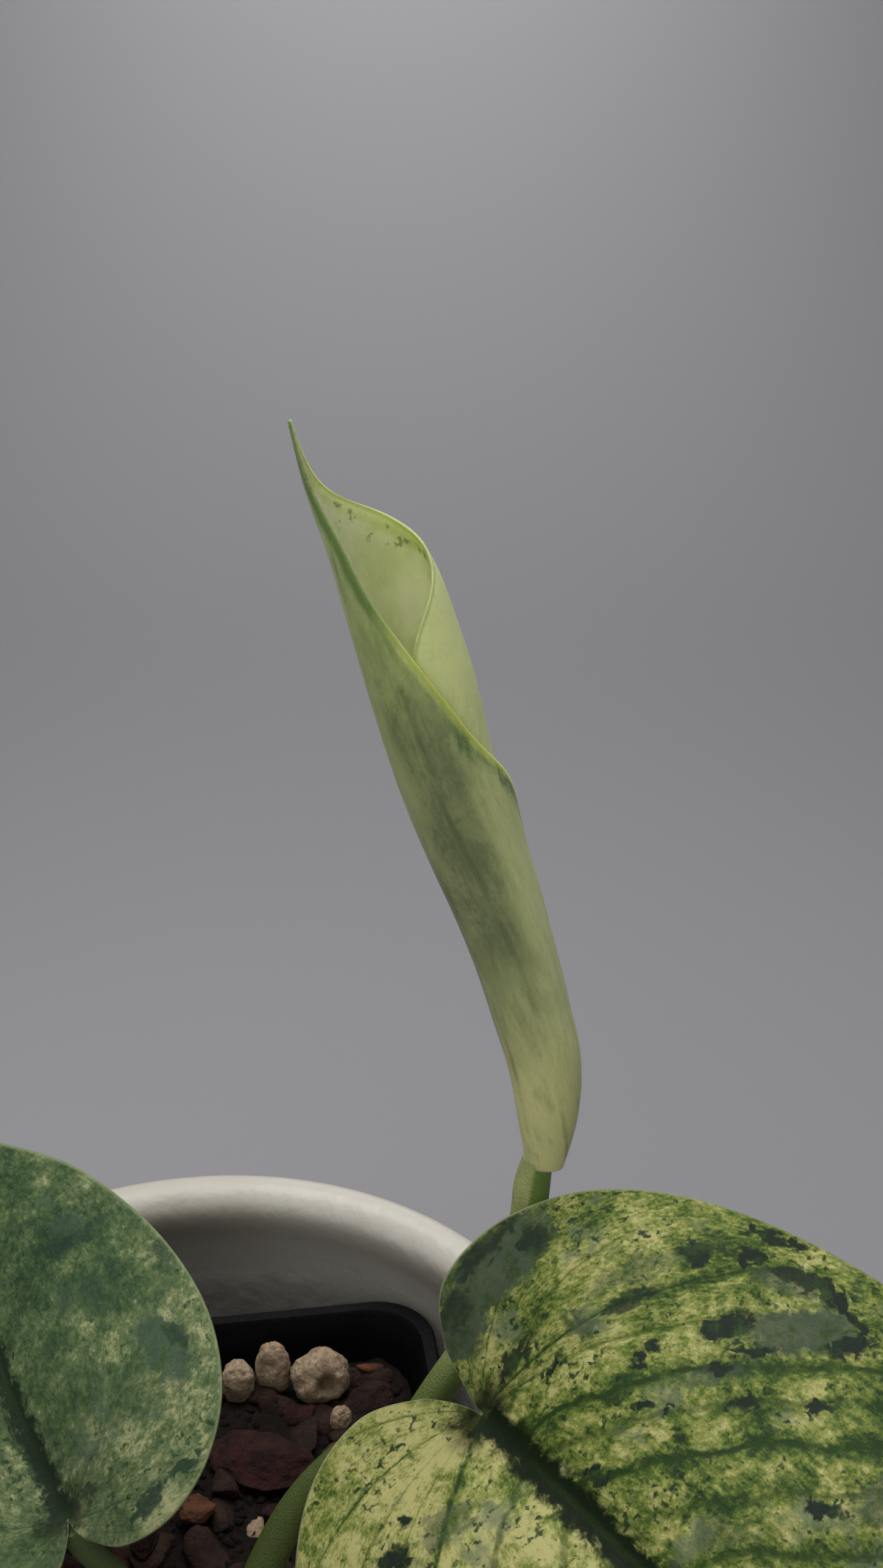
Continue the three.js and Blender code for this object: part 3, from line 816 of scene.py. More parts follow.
@dataclass(frozen=True)
class ScrollInside:
    """Inner face of the rolled leaf: soft yellow-green with a few dark specks."""

    name: str = "rolled leaf inside"
    base: Colour = (216, 218, 180)
    other: Colour = (198, 204, 160)
    speck: Colour = (104, 122, 76)
    olive: Colour = (168, 176, 104)
    edge: Colour = (150, 162, 96)

    def build(self) -> bpy.types.Material:
        """Builds the material.

        Returns:
            The material.
        """
        p = Paint(self.name)
        plane = p.uv(PLANE_UV, PLANE_SPAN)
        rim = p.uv(RIM_UV, RIM_SPAN).split()[0]
        soft = p.noise(plane * (1.0, 0.5, 1.0), 0.18)
        colour = p.mix(soft.step(0.38, 0.62), self.other, self.base)
        grain = p.noise(plane * (1.0, 0.55, 1.0), 0.55, 4.0, 0.6)
        colour = p.mix((rim + (grain - 0.5) * 4.0).fade(1.6, 3.6, 0.6), colour, self.olive)
        spot = p.noise(plane * (1.0, 0.8, 1.0), 0.7, 3.0).step(0.56, 0.64, 0.0, 0.75)
        colour = p.mix(spot * (rim.step(0.8, 1.6) * rim.fade(3.4, 6.5)), colour, self.speck)
        colour = p.mix(rim.fade(0.2, 0.9, 0.9), colour, self.edge)
        return p.finish(colour, 0.55, Normal=p.bump(grain), Specular_IOR_Level=0.15, **SCROLL_FLESH)


@dataclass(frozen=True)
class PetioleSkin:
    """Skin of stem and petioles: pale olive sheath on one side, deep green on the other, and painted shade that
    darkens it below a height where asked.
    """

    name: str
    sheath: Colour
    green: Colour
    turn: float
    spread: float = 0.5
    # Painted shade: colour and share that darken the skin below about 120 mm, where the new leaf's petiole runs
    # under the right leaf.
    low: Colour = (0, 0, 0)
    painted_shade_share: float = 0.0
    fleck: Colour = (112, 124, 62)
    blur: float = 0.12

    def build(self) -> bpy.types.Material:
        """Builds the material.

        Returns:
            The material.
        """
        p = Paint(self.name)
        skin = p.value("ShaderNodeAttribute", {}, "Vector", attribute_name=SKIN_PLACE)
        around_x, around_y, along = skin.split()
        a = math.radians(self.turn)
        thread = p.noise(p.join(around_x * 3.0, around_y * 3.0, along * 1.6), 2.2, 5.0, 0.6)
        facing = around_x * math.cos(a) + around_y * math.sin(a) + (thread - 0.5) * 0.25
        colour = p.mix(facing.step(self.spread - self.blur, self.spread + self.blur), self.sheath, self.green)
        # Painted shade: darker below about 120 mm height.
        colour = p.mix(p.place().split()[2].fade(112.0, 128.0, self.painted_shade_share), colour, self.low)
        place = p.noise(p.place((1.0, 1.0, 0.4)), 0.35, 4.0, 0.6)
        colour = p.mix(place.step(0.45, 0.75, 0.0, 0.4), colour, self.fleck)
        return p.finish(colour, 0.42, Normal=p.bump(thread), Specular_IOR_Level=0.42, Subsurface_Weight=0.08,
                        **LEAF_FLESH)


@dataclass(frozen=True)
class Stoneware:
    """Off-white satin glaze of the cover pot, with an unglazed foot."""

    name: str = "cover pot glaze"
    colour: Colour = (206, 201, 191)
    warm: Colour = (198, 191, 178)
    lip: Colour = (182, 176, 163)
    foot: Colour = (198, 187, 170)

    def build(self) -> bpy.types.Material:
        """Builds the material.

        Returns:
            The material.
        """
        p = Paint(self.name)
        place = p.place()
        z = place.split()[2]
        cloud = p.noise(place, 0.03, 4.0, 0.5)
        colour = p.mix(cloud.step(0.4, 0.65), self.colour, self.warm)
        colour = p.mix(z.step(93.0, 97.0, 0.0, 0.6), colour, self.lip)
        colour = p.mix(z.fade(0.5, 0.9), colour, self.foot)
        return p.finish(colour, cloud.step(0.3, 0.7, 0.36, 0.46), Normal=p.bump(p.noise(place, 0.22, 3.0)),
                        Specular_IOR_Level=0.5)


@dataclass(frozen=True)
class BlackPlastic:
    """Thin black moulded plastic of the nursery pot, dusty in places."""

    name: str = "nursery pot plastic"
    colour: Colour = (12, 12, 14)
    dust: Colour = (48, 43, 38)

    def build(self) -> bpy.types.Material:
        """Builds the material.

        Returns:
            The material.
        """
        p = Paint(self.name)
        place = p.place()
        dust = p.noise(place, 0.25, 6.0, 0.7)
        colour = p.mix(dust.step(0.62, 0.85, 0.0, 0.25), self.colour, self.dust)
        normal = p.bump(p.noise(place, 1.4, 3.0), 0.00012)
        return p.finish(colour, dust.step(0.4, 0.75, 0.5, 0.72), Normal=normal, Specular_IOR_Level=0.1)


@dataclass(frozen=True)
class Rubble:
    """Matter of the mix: a patchy base, darker hollows and a rough grain."""

    name: str
    base: Colour
    other: Colour
    hollow: Colour
    scale: float
    grain: float

    def build(self) -> bpy.types.Material:
        """Builds the material.

        Returns:
            The material.
        """
        p = Paint(self.name)
        place = p.place()
        patch = p.noise(place, self.scale, 5.0, 0.65)
        colour = p.mix(patch.step(0.38, 0.62), self.base, self.other)
        pits = p.noise(place + (31.0, 7.0, 0.0), self.scale * 3.5, 5.0, 0.7)
        colour = p.mix(pits.step(0.55, 0.72, 0.0, 0.8), colour, self.hollow)
        return p.finish(colour, 0.9, Normal=p.bump(patch - pits * 0.7, self.grain), Specular_IOR_Level=0.2)


@dataclass
class CoverPot:
    """Round off-white cover pot with a rounded lip."""

    height: float = 97.0
    rim: float = 56.5
    foot: float = 41.0
    wall: float = 3.6
    lip: float = 7.4
    lip_depth: float = 5.0
    floor: float = 5.0
    steps: int = 160

    def outer(self, z: float) -> float:
        """Outside radius at a height."""
        return self.foot + (self.rim - self.foot) * z / self.height

    def profile(self) -> list[tuple[float, float]]:
        """Wall section as radius and height, from the foot's centre round to the floor's.

        Returns:
            Radius and height of each corner.
        """
        outer, h, inside = self.outer, self.height, self.rim - self.lip
        start, end = self.foot, outer(self.floor) - self.wall
        under_foot = [(0, 0.4), (start - 5, 0.4), (start - 4.2, 0), (start - 2, 0), (start - 0.6, 0.6)]
        outside = [(outer(z), z) for z in (2.4, h * 0.25, h * 0.5, h * 0.75, h - 2.2)]
        lip = [
            (self.rim - 0.35, h - 1.3), (self.rim - 1.1, h - 0.45), (self.rim - 2.2, h),
            (self.rim - 3.4, h - 0.02), (inside + 2.8, h - 0.4), (inside + 1.6, h - 1.0),
            (inside + 0.7, h - 1.9), (inside + 0.15, h - 3.0), (inside, h - 4.2),
            (inside + 0.1, h - self.lip_depth - 1), (inside + 0.6, h - self.lip_depth - 2.6),
        ]
        hollow = [(outer(z) - self.wall, z) for z in (h - 12, h * 0.5, self.floor + 6)]
        floor = [(end - 2, self.floor + 1), (end - 5, self.floor), (0, self.floor)]
        return [*under_foot, *outside, *lip, *hollow, *floor]

    def build(self) -> bpy.types.Object:
        """Turns the section round the axis.

        Returns:
            The pot.
        """
        turns = [2 * math.pi * i / self.steps for i in range(self.steps)]
        work = bmesh.new()
        skinned(work, [[(r * math.cos(a), r * math.sin(a), z) for a in turns] if r else [(0, 0, z)]
                       for r, z in self.profile()])
        mesh = smoothed(written(work, "cover_pot_glazed"))
        mesh.materials.append(Stoneware().build())
        return stands_for(shown("cover_pot_glazed", mesh), "cover_pot")


@dataclass
class NurseryPot:
    """Square black nursery pot with rounded corners, a rolled lip and drain holes."""

    turn: float = 8.0
    centre: tuple[float, float] = (1.8, 0.2)
    bottom: float = 5.8
    top: float = 83.0
    half_top: float = 34.9
    half_bottom: float = 26.0
    lip: float = 1.6
    lip_height: float = 5.0
    wall: float = 1.3
    corner: float = 9.4
    corner_steps: int = 12
    side_steps: int = 6
    drain: float = 3.0
    drain_spread: float = 14.0
    drain_sides: int = 24
    drain_cut: float = 12.0
    sharp_angle: float = 35.0

    def half(self, z: float) -> float:
        """Outside half width of the wall at a height."""
        rise = (self.half_top - self.half_bottom) * (z - self.bottom)
        return self.half_bottom + rise / (self.top - self.bottom)

    def ring(self, half: float, corner: float, z: float, scale: float = 1.0) -> list[Point]:
        """One level: a rounded square, turned to its place.

        Args:
            half: Half its width.
            corner: Radius of its corners.
            z: Height.
            scale: Share of its size.

        Returns:
            Points in millimetres.
        """
        flat = half - corner
        turns = [math.pi / 2 * i / self.corner_steps for i in range(self.corner_steps + 1)]
        local = [(flat + corner * math.cos(a), flat + corner * math.sin(a)) for a in turns]
        local += [(flat * (1 - 2 * i / self.side_steps), half) for i in range(1, self.side_steps)]
        points = []
        for quarter in range(4):
            a = quarter * math.pi / 2 + math.radians(self.turn)
            for x, y in local:
                px = scale * (x * math.cos(a) - y * math.sin(a))
                py = scale * (x * math.sin(a) + y * math.cos(a))
                points.append((self.centre[0] + px, self.centre[1] + py, z))
        return points

    def build(self) -> bpy.types.Object:
        """Skins the levels and drills the floor.

        Returns:
            The pot.
        """
        start, floor = self.top - self.lip_height, self.bottom + self.wall
        inner, low = self.corner - self.wall, self.half_bottom - self.wall
        levels = (
            (self.half_bottom, self.corner, self.bottom, 0.02),
            (self.half_bottom - 1, self.corner - 1, self.bottom),
            (self.half_bottom, self.corner, self.bottom + 1),
            (self.half(start), self.corner, start),
            (self.half(start) + self.lip, self.corner, start + 0.8),
            (self.half_top + self.lip, self.corner, self.top - 0.5),
            (self.half_top + self.lip - 0.5, self.corner - 0.3, self.top),
            (self.half_top - self.wall + 0.7, inner + 0.5, self.top),
            (self.half_top - self.wall + 0.35, inner + 0.3, self.top - 0.5),
            (self.half(start) - self.wall, inner, start),
            (low, inner, floor + 0.5), (low, inner, floor, 0.97), (low, inner, floor, 0.02),
        )
        work = bmesh.new()
        skinned(work, [self.ring(*level) for level in levels])
        mesh = written(work, "nursery_pot_moulded")
        mesh.materials.append(BlackPlastic().build())
        pot = shown("nursery_pot_moulded", mesh)
        self.drill(pot)
        self.smooth(pot.data)
        return stands_for(pot, "nursery_pot")

    def drill(self, pot: bpy.types.Object) -> None:
        """Cuts the drain holes through the floor.

        Args:
            pot: Pot that is cut.
        """
        work = bmesh.new()
        for steps in ((0, 0), (1, 0), (0, 1), (-1, 0), (0, -1)):
            place = [c + step * self.drain_spread for c, step in zip(self.centre, steps)] + [self.bottom]
            bmesh.ops.create_cone(work, cap_ends=True, segments=self.drain_sides, radius1=self.drain * MM,
                                  radius2=self.drain * MM, depth=self.drain_cut * MM,
                                  matrix=Matrix.Translation([c * MM for c in place]))
        drills = shown("drills", written(work, "drills"))
        cut = pot.modifiers.new("holes", "BOOLEAN")
        cut.operation = "DIFFERENCE"
        cut.solver = "EXACT"
        cut.object = drills
        made = evaluated(pot)
        pot.modifiers.clear()
        pot.data = made
        bpy.data.objects.remove(drills)

    def smooth(self, mesh: bpy.types.Mesh) -> None:
        """Smooths the faces, with sharp edges where they meet at more than the angle.

        Args:
            mesh: Mesh of the pot.
        """
        smoothed(mesh)
        work = bmesh.new()
        work.from_mesh(mesh)
        limit = math.radians(self.sharp_angle)
        for edge in work.edges:
            edge.smooth = len(edge.link_faces) == 2 and edge.calc_face_angle(0.0) < limit
        work.to_mesh(mesh)
        work.free()


@dataclass
class OpenLeaf:
    """One open heart-shaped leaf, with the sizes of its solid."""

    name: str
    node: str
    joint: Point
    heading: float
    rise: float
    roll: float
    length: float
    half_width: float
    fold: float
    fold_width: float
    dimple: float
    dimple_radius: float
    curl_left: float
    curl_right: float
    arch: float
    arch_back: float
    outline_left: Pairs
    outline_right: Pairs
    upper: MottledUpper
    under: PaleUnder
    relief: float = 0.1
    rows: int = 190
    columns: int = 34
    vein_fan: float = 0.44
    vein_ease: float = 1.15
    vein_sweep: float = 0.18
    thickness: float = 0.72

    def flat_half(self, outline: Pairs) -> tuple[np.ndarray, np.ndarray, np.ndarray]:
        """Flat points of one half, with their row and column shares.

        Args:
            outline: Margin from tip to notch.

        Returns:
            Flat points, row shares and column shares.
        """
        t = np.linspace(0, 1, self.rows + 1)
        end = catmull(np.array(outline, float), t) * np.array([self.length, self.half_width])
        start = np.zeros_like(end)
        start[:, 0] = self.length * np.maximum(0, 1 - t / self.vein_fan) ** self.vein_ease
        chord = end - start
        size = np.linalg.norm(chord, axis=1, keepdims=True)
        lean = np.abs(chord[:, 1:]) / np.maximum(size, 1e-9)
        middle = (start + end) / 2 + np.stack([-chord[:, 1], chord[:, 0]], -1) * self.vein_sweep * lean
        s = np.linspace(0, 1, self.columns + 1)[None, :, None]
        flat = (1 - s) ** 2 * start[:, None] + 2 * s * (1 - s) * middle[:, None] + s**2 * end[:, None]
        shape = flat.shape[:2]
        return flat, np.broadcast_to(t[:, None], shape), np.broadcast_to(s[..., 0], shape)

    def bend(self, flat: np.ndarray, side: int) -> np.ndarray:
        """Bends flat points into the leaf's own frame.

        Args:
            flat: Flat points.
            side: 1 for the left half, -1 for the right.

        Returns:
            Bent points.
        """
        x, y = flat[..., 0], flat[..., 1]
        reach = np.clip(1 - x / self.length, 0, 1)
        lift = self.fold * (1 - np.exp(-y / self.fold_width)) * (0.35 + 0.65 * reach)
        lift = lift + self.dimple * (1 - np.exp(-((np.hypot(x, y) / self.dimple_radius) ** 2)))
        curl = math.radians(self.curl_left if side > 0 else self.curl_right) / self.half_width
        across = np.sin(curl * y) / curl + lift * np.sin(curl * y)
        height = -(1 - np.cos(curl * y)) / curl + lift * np.cos(curl * y)
        arch = np.where(x > 0, math.radians(self.arch), math.radians(self.arch_back)) / self.length
        along = np.sin(arch * x) / arch + height * np.sin(arch * x)
        up = -(1 - np.cos(arch * x)) / arch + height * np.cos(arch * x)
        return np.stack([along, side * across, up], -1)

    def place(self, points: np.ndarray) -> np.ndarray:
        """Turns and moves points to the leaf's place on the vine.

        Args:
            points: Points in the leaf's own frame.

        Returns:
            Points in the object's frame.
        """
        heading, rise, roll = (math.radians(a) for a in (self.heading, self.rise, self.roll))
        x = Vector((math.cos(heading) * math.cos(rise), math.sin(heading) * math.cos(rise), math.sin(rise)))
        level = Vector((0, 0, 1)).cross(x).normalized()
        up = x.cross(level)
        side = math.cos(roll) * level + math.sin(roll) * up
        over = math.cos(roll) * up - math.sin(roll) * level
        return points @ np.array([x, side, over]) + np.array(self.joint)

    def lift(self, flat: np.ndarray, t: np.ndarray, s: np.ndarray, side: int) -> np.ndarray:
        """Fine relief: sunk veins with soft swells between them.

        Args:
            flat: Flat points.
            t: Row shares.
            s: Column shares.
            side: 1 for the left half, -1 for the right.

        Returns:
            Height at each point.
        """
        veins = self.upper.veins_left if side > 0 else self.upper.veins_right
        places = np.array([place for place, strength in veins if strength > 0.35])
        gap = np.abs(t[..., None] - places)
        sunk = np.exp(-((gap / 0.006) ** 2)).sum(-1)
        span = np.clip(s * (1 - s) * 4, 0, 1)
        swell = np.zeros_like(t)
        for low, high in zip(places, places[1:]):
            w = np.clip((t - low) / (high - low), 0, 1)
            swell += np.sin(np.pi * w) ** 2 * ((t > low) & (t < high))
        rough = np.sin(flat[..., 0] * 0.31 + side) * np.sin(flat[..., 1] * 0.27 + 2 * side)
        return self.relief * span * (swell - 0.9 * sunk) + 0.25 * span * rough

    def build(self) -> bpy.types.Object:
        """Builds both halves as one closed blade.

        Returns:
            The leaf.
        """
        surface = Surface(self.name)
        corners = [(0, 0), (0, 1), (1, 1), (1, 0)]
        loop = [(i, self.columns) for i in range(self.rows + 1)]
        loop += [(self.rows, j) for j in range(self.columns - 1, -1, -1)]
        for side, outline in ((1, self.outline_left), (-1, self.outline_right)):
            flat, t, s = self.flat_half(outline)
            bare = self.place(self.bend(flat, side))
            normals = grid_normals(self.place(self.bend(np.maximum(flat, [-1e3, 1e-4]), side))) * -side
            normals[:, 0] = normals[:, 1]
            hub = t[:, 0] > self.vein_fan - 0.02
            normals[hub, 0] = normals[hub, 1].mean(0) / np.linalg.norm(normals[hub, 1].mean(0))
            top = bare + normals * self.lift(flat, t, s, side)[..., None]
            rim = np.linalg.norm(bare - bare[:, -1:], axis=-1)
            rim = np.minimum(rim, np.linalg.norm(bare - bare[-1:], axis=-1) + 0.2)
            edge = 1 - 0.55 * np.exp(-((rim / 1.4) ** 2))
            stalk = 0.95 * np.exp(-((flat[..., 1] / 1.3) ** 2)) * np.clip(1 - flat[..., 0] / self.length, 0, 1)
            stalk = stalk * np.clip((flat[..., 0] + 1) / 4, 0, 1)
            lower = top - normals * (self.thickness * edge + stalk)[..., None]
            sheet = Sheet(top, flat * np.array([1, side]), np.stack([t, s], -1), np.stack([rim, rim], -1))
            surface.add_blade(sheet, lower, corners, loop, side < 0)
        return stands_for(surface.build([self.upper.build(), self.under.build()]), self.node)


@dataclass
class RolledLeaf:
    """New leaf, rolled into a scroll that winds inwards from its outer margin."""

    table: tuple[tuple[float, ...], ...] = (
        (19.4, 21.2, 234.8, 3.6, 13, -13), (23.1, 19.55, 227.47, 5.5, 38, -50),
        (26.4, 18.03, 221.03, 6.45, 52.4, -128), (29.3, 16.44, 214.61, 7.4, 63.5, -203.5),
        (31.5, 14.8, 208.19, 7.7, 83.7, -263.6), (33.5, 13.13, 201.78, 7.8, 105.3, -289.1),
        (35.3, 11.48, 195.35, 7.55, 131.1, -302.2), (37.3, 9.85, 188.9, 7.2, 174.2, -311.6),
        (39.5, 8.16, 182.45, 6.6, 204.6, -318), (41.95, 6.43, 175.99, 6.1, 227.8, -319.9),
        (44.16, 4.7, 169.52, 5.7, 246, -316.7), (46.1, 2.96, 162.97, 5.45, 250, -309.9),
        (47.9, 1.22, 156.33, 5.15, 250, -301.1), (48.4, -0.64, 149.62, 4.4, 246, -236),
        (48.1, -2.48, 142.86, 2.9, 235, -120),
    )
    pitch: float = 1.5
    outermost: float = 200.0
    thickness: float = 0.62
    rows: int = 220
    columns: int = 110

    def build(self) -> bpy.types.Object:
        """Builds the scroll as one closed blade.

        Returns:
            The leaf.
        """
        share = np.linspace(0, 1, self.rows + 1)
        samples = catmull(np.array(self.table, float), share)
        centre = samples[:, :3]
        along = np.gradient(centre, axis=0)
        along /= np.linalg.norm(along, axis=1, keepdims=True)
        left = np.array([-1.0, 0, 0]) + along * along[:, :1]
        left /= np.linalg.norm(left, axis=1, keepdims=True)
        front = np.cross(left, along)
        w = np.linspace(0, 1, self.columns + 1)[None, :]
        angle = samples[:, 5:6] + (samples[:, 4:5] - samples[:, 5:6]) * w
        radius = samples[:, 3:4] - self.pitch * (self.outermost - angle) / 360
        a = np.radians(angle)
        points = centre[:, None] + left[:, None] * (radius * np.cos(a))[..., None]
        points = points + front[:, None] * (radius * np.sin(a))[..., None]
        arc = a * radius
        run = np.concatenate([[0], np.cumsum(np.linalg.norm(np.diff(centre, axis=0), axis=1))])
        run = run[-1] - run
        outer = arc[:, -1:] - arc
        to_edge = np.minimum(np.abs(np.minimum(outer, arc - arc[:, :1])), (run[0] - run)[:, None] + 0.3)
        edge = 1 - 0.5 * np.exp(-((to_edge / 1.2) ** 2))
        lower = points - grid_normals(points) * (self.thickness * edge)[..., None]
        plane = np.stack([arc, np.broadcast_to(run[:, None], arc.shape)], -1)
        flow = np.stack(np.broadcast_arrays((1 - share)[:, None], w), -1)
        loop = [(i, 0) for i in range(self.rows + 1)] + [(self.rows, j) for j in range(1, self.columns + 1)]
        loop += [(i, self.columns) for i in range(self.rows - 1, -1, -1)]
        loop += [(0, j) for j in range(self.columns - 1, -1, -1)]
        surface = Surface("leaf_new_rolled")
        sheet = Sheet(points, plane, flow, np.stack([to_edge, outer], -1))
        surface.add_blade(sheet, lower, [(0, 0), (1, 0), (1, 1), (0, 1)], loop)
        return stands_for(surface.build([ScrollOutside().build(), ScrollInside().build()]), "leaf_new")


class Recipe(NodeWriter):
    """A Geometry Nodes tree with named inputs, written in short steps."""

    NAME = ""
    INPUTS: tuple[tuple[str, str], ...] = ()

    def __init__(self) -> None:
        """Makes the tree with its sockets and lays out its steps."""
        self.tree = bpy.data.node_groups.new(self.NAME, "GeometryNodeTree")
        face = self.tree.interface
        face.new_socket("Geometry", in_out="INPUT", socket_type="NodeSocketGeometry")
        self.ids = {
            key: face.new_socket(key, in_out="INPUT", socket_type=f"NodeSocket{kind}").identifier
            for key, kind in self.INPUTS
        }
        face.new_socket("Geometry", in_out="OUTPUT", socket_type="NodeSocketGeometry")
        given = self.tree.nodes.new("NodeGroupInput").outputs
        made, matter = self.lay(given)
        real = self.value("GeometryNodeRealizeInstances", {"Geometry": made})
        self.node("NodeGroupOutput", {
            0: self.value("GeometryNodeSetMaterial", {"Geometry": real, "Material": matter}),
        })

    def lay(self, given: bpy.types.NodeOutputs) -> tuple[object, object]:
        """Lays out the tree's own steps and returns their geometry and material."""
        raise NotImplementedError

    def run(self, name: str, data: bpy.types.ID, values: dict[str, object]) -> bpy.types.Object:
        """Runs the tree on some data.

        Args:
            name: Name of what it makes.
            data: Curve or mesh that it starts from.
            values: Its inputs by name.

        Returns:
            What it makes, as a plain mesh object.
        """
        carrier = shown(name + "_carrier", data)
        rule = carrier.modifiers.new("recipe", "NODES")
        rule.node_group = self.tree
        for key, value in values.items():
            rule[self.ids[key]] = value
        mesh = evaluated(carrier)
        mesh.name = name
        bpy.data.objects.remove(carrier)
        return shown(name, mesh)


class StalkTree(Recipe):
    """Geometry Nodes that skin a stalk along its path with a grooved section."""

    NAME = "stalk along a path"
    SIZE = "Size"
    SIDES = "Sides"
    GROOVE = "Groove"
    SKIN = "Skin"
    INPUTS = ((SIZE, "Float"), (SIDES, "Int"), (GROOVE, "Float"), (SKIN, "Material"))
    GROOVE_START = 0.72
    ALONG = "along"

    def lay(self, given: bpy.types.NodeOutputs) -> tuple[object, object]:
        """Grooves the section's top, marks the path's length and sweeps the one along the other.

        Args:
            given: The tree's inputs.

        Returns:
            The stalk and its skin.
        """
        circle = self.value("GeometryNodeCurvePrimitiveCircle", {
            "Resolution": given[self.SIDES], "Radius": given[self.SIZE],
        })
        place = self.value("GeometryNodeInputPosition", {})
        height = place.reckon("NORMALIZE", place).split()[1]
        dip = 1.0 - height.step(self.GROOVE_START, 1.0) * given[self.GROOVE]
        scaled = self.value("ShaderNodeVectorMath", {0: place, "Scale": dip}, operation="SCALE")
        shaped = self.value("GeometryNodeSetPosition", {"Geometry": circle, "Position": scaled})
        run = self.value("GeometryNodeSplineParameter", {}, "Length")
        inputs = {"Name": self.ALONG, "Geometry": given["Geometry"], "Value": run}
        path = self.value("GeometryNodeStoreNamedAttribute", inputs, data_type="FLOAT")
        inputs = {"Fill Caps": True, "Curve": path, "Profile Curve": shaped}
        swept = self.node("GeometryNodeCurveToMesh", inputs)
        if "Scale" in swept.inputs:
            self.put(swept.inputs["Scale"], self.value("GeometryNodeInputRadius", {}))
        return swept.outputs["Mesh"], given[self.SKIN]


@dataclass(frozen=True)
class Stalk:
    """One run of the vine: its table of x, y, z and radius, and its skin."""

    name: str
    table: tuple[tuple[float, float, float, float], ...]
    skin: PetioleSkin
    groove: float = 0.16
    sides: int = 28
    steps: int = 8

    def build(self, tree: StalkTree) -> bpy.types.Object:
        """Skins the run.

        Args:
            tree: Tree that skins a path.

        Returns:
            The run's mesh object.
        """
        rows = np.array(self.table, float)
        samples = catmull(rows, np.linspace(0, 1, (len(rows) - 1) * self.steps + 1))
        curve = bpy.data.curves.new(self.name, "CURVE")
        curve.dimensions = "3D"
        spline = curve.splines.new("POLY")
        spline.points.add(len(samples) - 1)
        for point, (x, y, z, r) in zip(spline.points, samples):
            point.co = (x * MM, y * MM, z * MM, 1.0)
            point.radius = r
        run = tree.run(self.name, curve, {
            tree.SIZE: MM, tree.SIDES: self.sides, tree.GROOVE: self.groove, tree.SKIN: self.skin.build(),
        })
        self.mark(run.data)
        smoothed(run.data)
        return run

    def mark(self, mesh: bpy.types.Mesh) -> None:
        """Writes where each point lies round and along the run for its skin.

        Args:
            mesh: Mesh of the run.
        """
        count = len(mesh.vertices)
        normals = np.zeros(count * 3, np.float32)
        along = np.zeros(count, np.float32)
        mesh.vertex_normals.foreach_get("vector", normals)
        mesh.attributes[StalkTree.ALONG].data.foreach_get("value", along)
        value = normals.reshape(-1, 3).copy()
        value[:, 2] = along * PER_METRE
        place = mesh.attributes.new(SKIN_PLACE, "FLOAT_VECTOR", "POINT")
        place.data.foreach_set("vector", value.ravel())


# The new leaf's petiole takes painted shade below the right leaf.
OLIVE = PetioleSkin("petiole skin new leaf", (178, 186, 120), (112, 144, 56), -30.0, 0.35, (92, 110, 46), 0.95)
DEEP = PetioleSkin("petiole skin right leaf", (84, 98, 44), (58, 78, 30), 90.0, 0.2)
SOFT = PetioleSkin("petiole skin left leaf", (104, 122, 78), (78, 98, 50), 90.0, 0.1)
STEM_SKIN = PetioleSkin("stem skin", (96, 110, 58), (70, 90, 40), 90.0, 0.1)
NUB_SKIN = PetioleSkin("root nub skin", (128, 112, 72), (104, 92, 60), 90.0, 0.1)

RUNS = (
    Stalk("stem", ((4.6, -25.4, 60, 2.9), (5.4, -25.4, 66, 3.0), (6.2, -25.3, 71, 3.2), (6.9, -25.1, 75, 3.9),
                   (7.5, -24.9, 78, 3.3), (8.0, -24.7, 80.5, 3.7), (8.4, -24.4, 82.6, 2.2)), STEM_SKIN, 0.0),
    Stalk("petiole_left", ((7.3, -24.9, 77.5, 2.4), (3.2, -25.2, 83.6, 2.0), (-2.0, -26.3, 91.4, 1.7),
                           (-6.4, -27.8, 99.2, 1.6), (-9.2, -29.1, 105.4, 1.7), (-10.3, -29.9, 109.6, 1.7)),
          SOFT),
    Stalk("petiole_right", ((7.9, -25.2, 79.8, 2.8), (10.2, -23.6, 88.3, 2.6), (13.0, -21.5, 95.2, 2.4),
                            (16.6, -20.0, 102.1, 2.2), (21.5, -19.7, 108.8, 2.1), (27.8, -20.9, 115.0, 2.0),
                            (33.6, -22.7, 118.6, 2.1), (38.6, -25.4, 121.6, 1.9)), DEEP),
    Stalk("petiole_new", ((8.0, -24.3, 79.0, 2.6), (14.7, -21.4, 85.7, 2.5), (21.8, -18.1, 93.8, 2.4),
                          (28.4, -14.2, 103.2, 2.3), (34.4, -10.5, 111.7, 2.3), (38.7, -8.3, 117.6, 2.3),
                          (42.2, -6.6, 123.2, 2.3), (44.6, -5.3, 128.3, 2.3), (46.0, -4.3, 132.8, 2.4),
                          (46.6, -3.4, 136.9, 2.4), (46.9, -2.8, 140.0, 2.4), (47.6, -2.5, 144.0, 2.0)), OLIVE),
    Stalk("root_nub_a", ((5.2, -27.6, 74.6, 1.1), (3.4, -29.9, 74.8, 1.0), (2.0, -31.2, 76.2, 0.7)),
          NUB_SKIN, 0.0),
    Stalk("root_nub_b", ((10.2, -26.8, 76.0, 1.1), (12.6, -28.2, 77.0, 0.9), (14.0, -28.9, 79.2, 0.6)),
          NUB_SKIN, 0.0),
)


@dataclass
class Vine:
    """Stem with its petioles and root nubs, as one piece."""

    runs: tuple[Stalk, ...] = RUNS

    def build(self) -> bpy.types.Object:
        """Skins the runs and joins them."""
        tree = StalkTree()
        return stands_for(joined([run.build(tree) for run in self.runs], "vine_grown"), "vine")


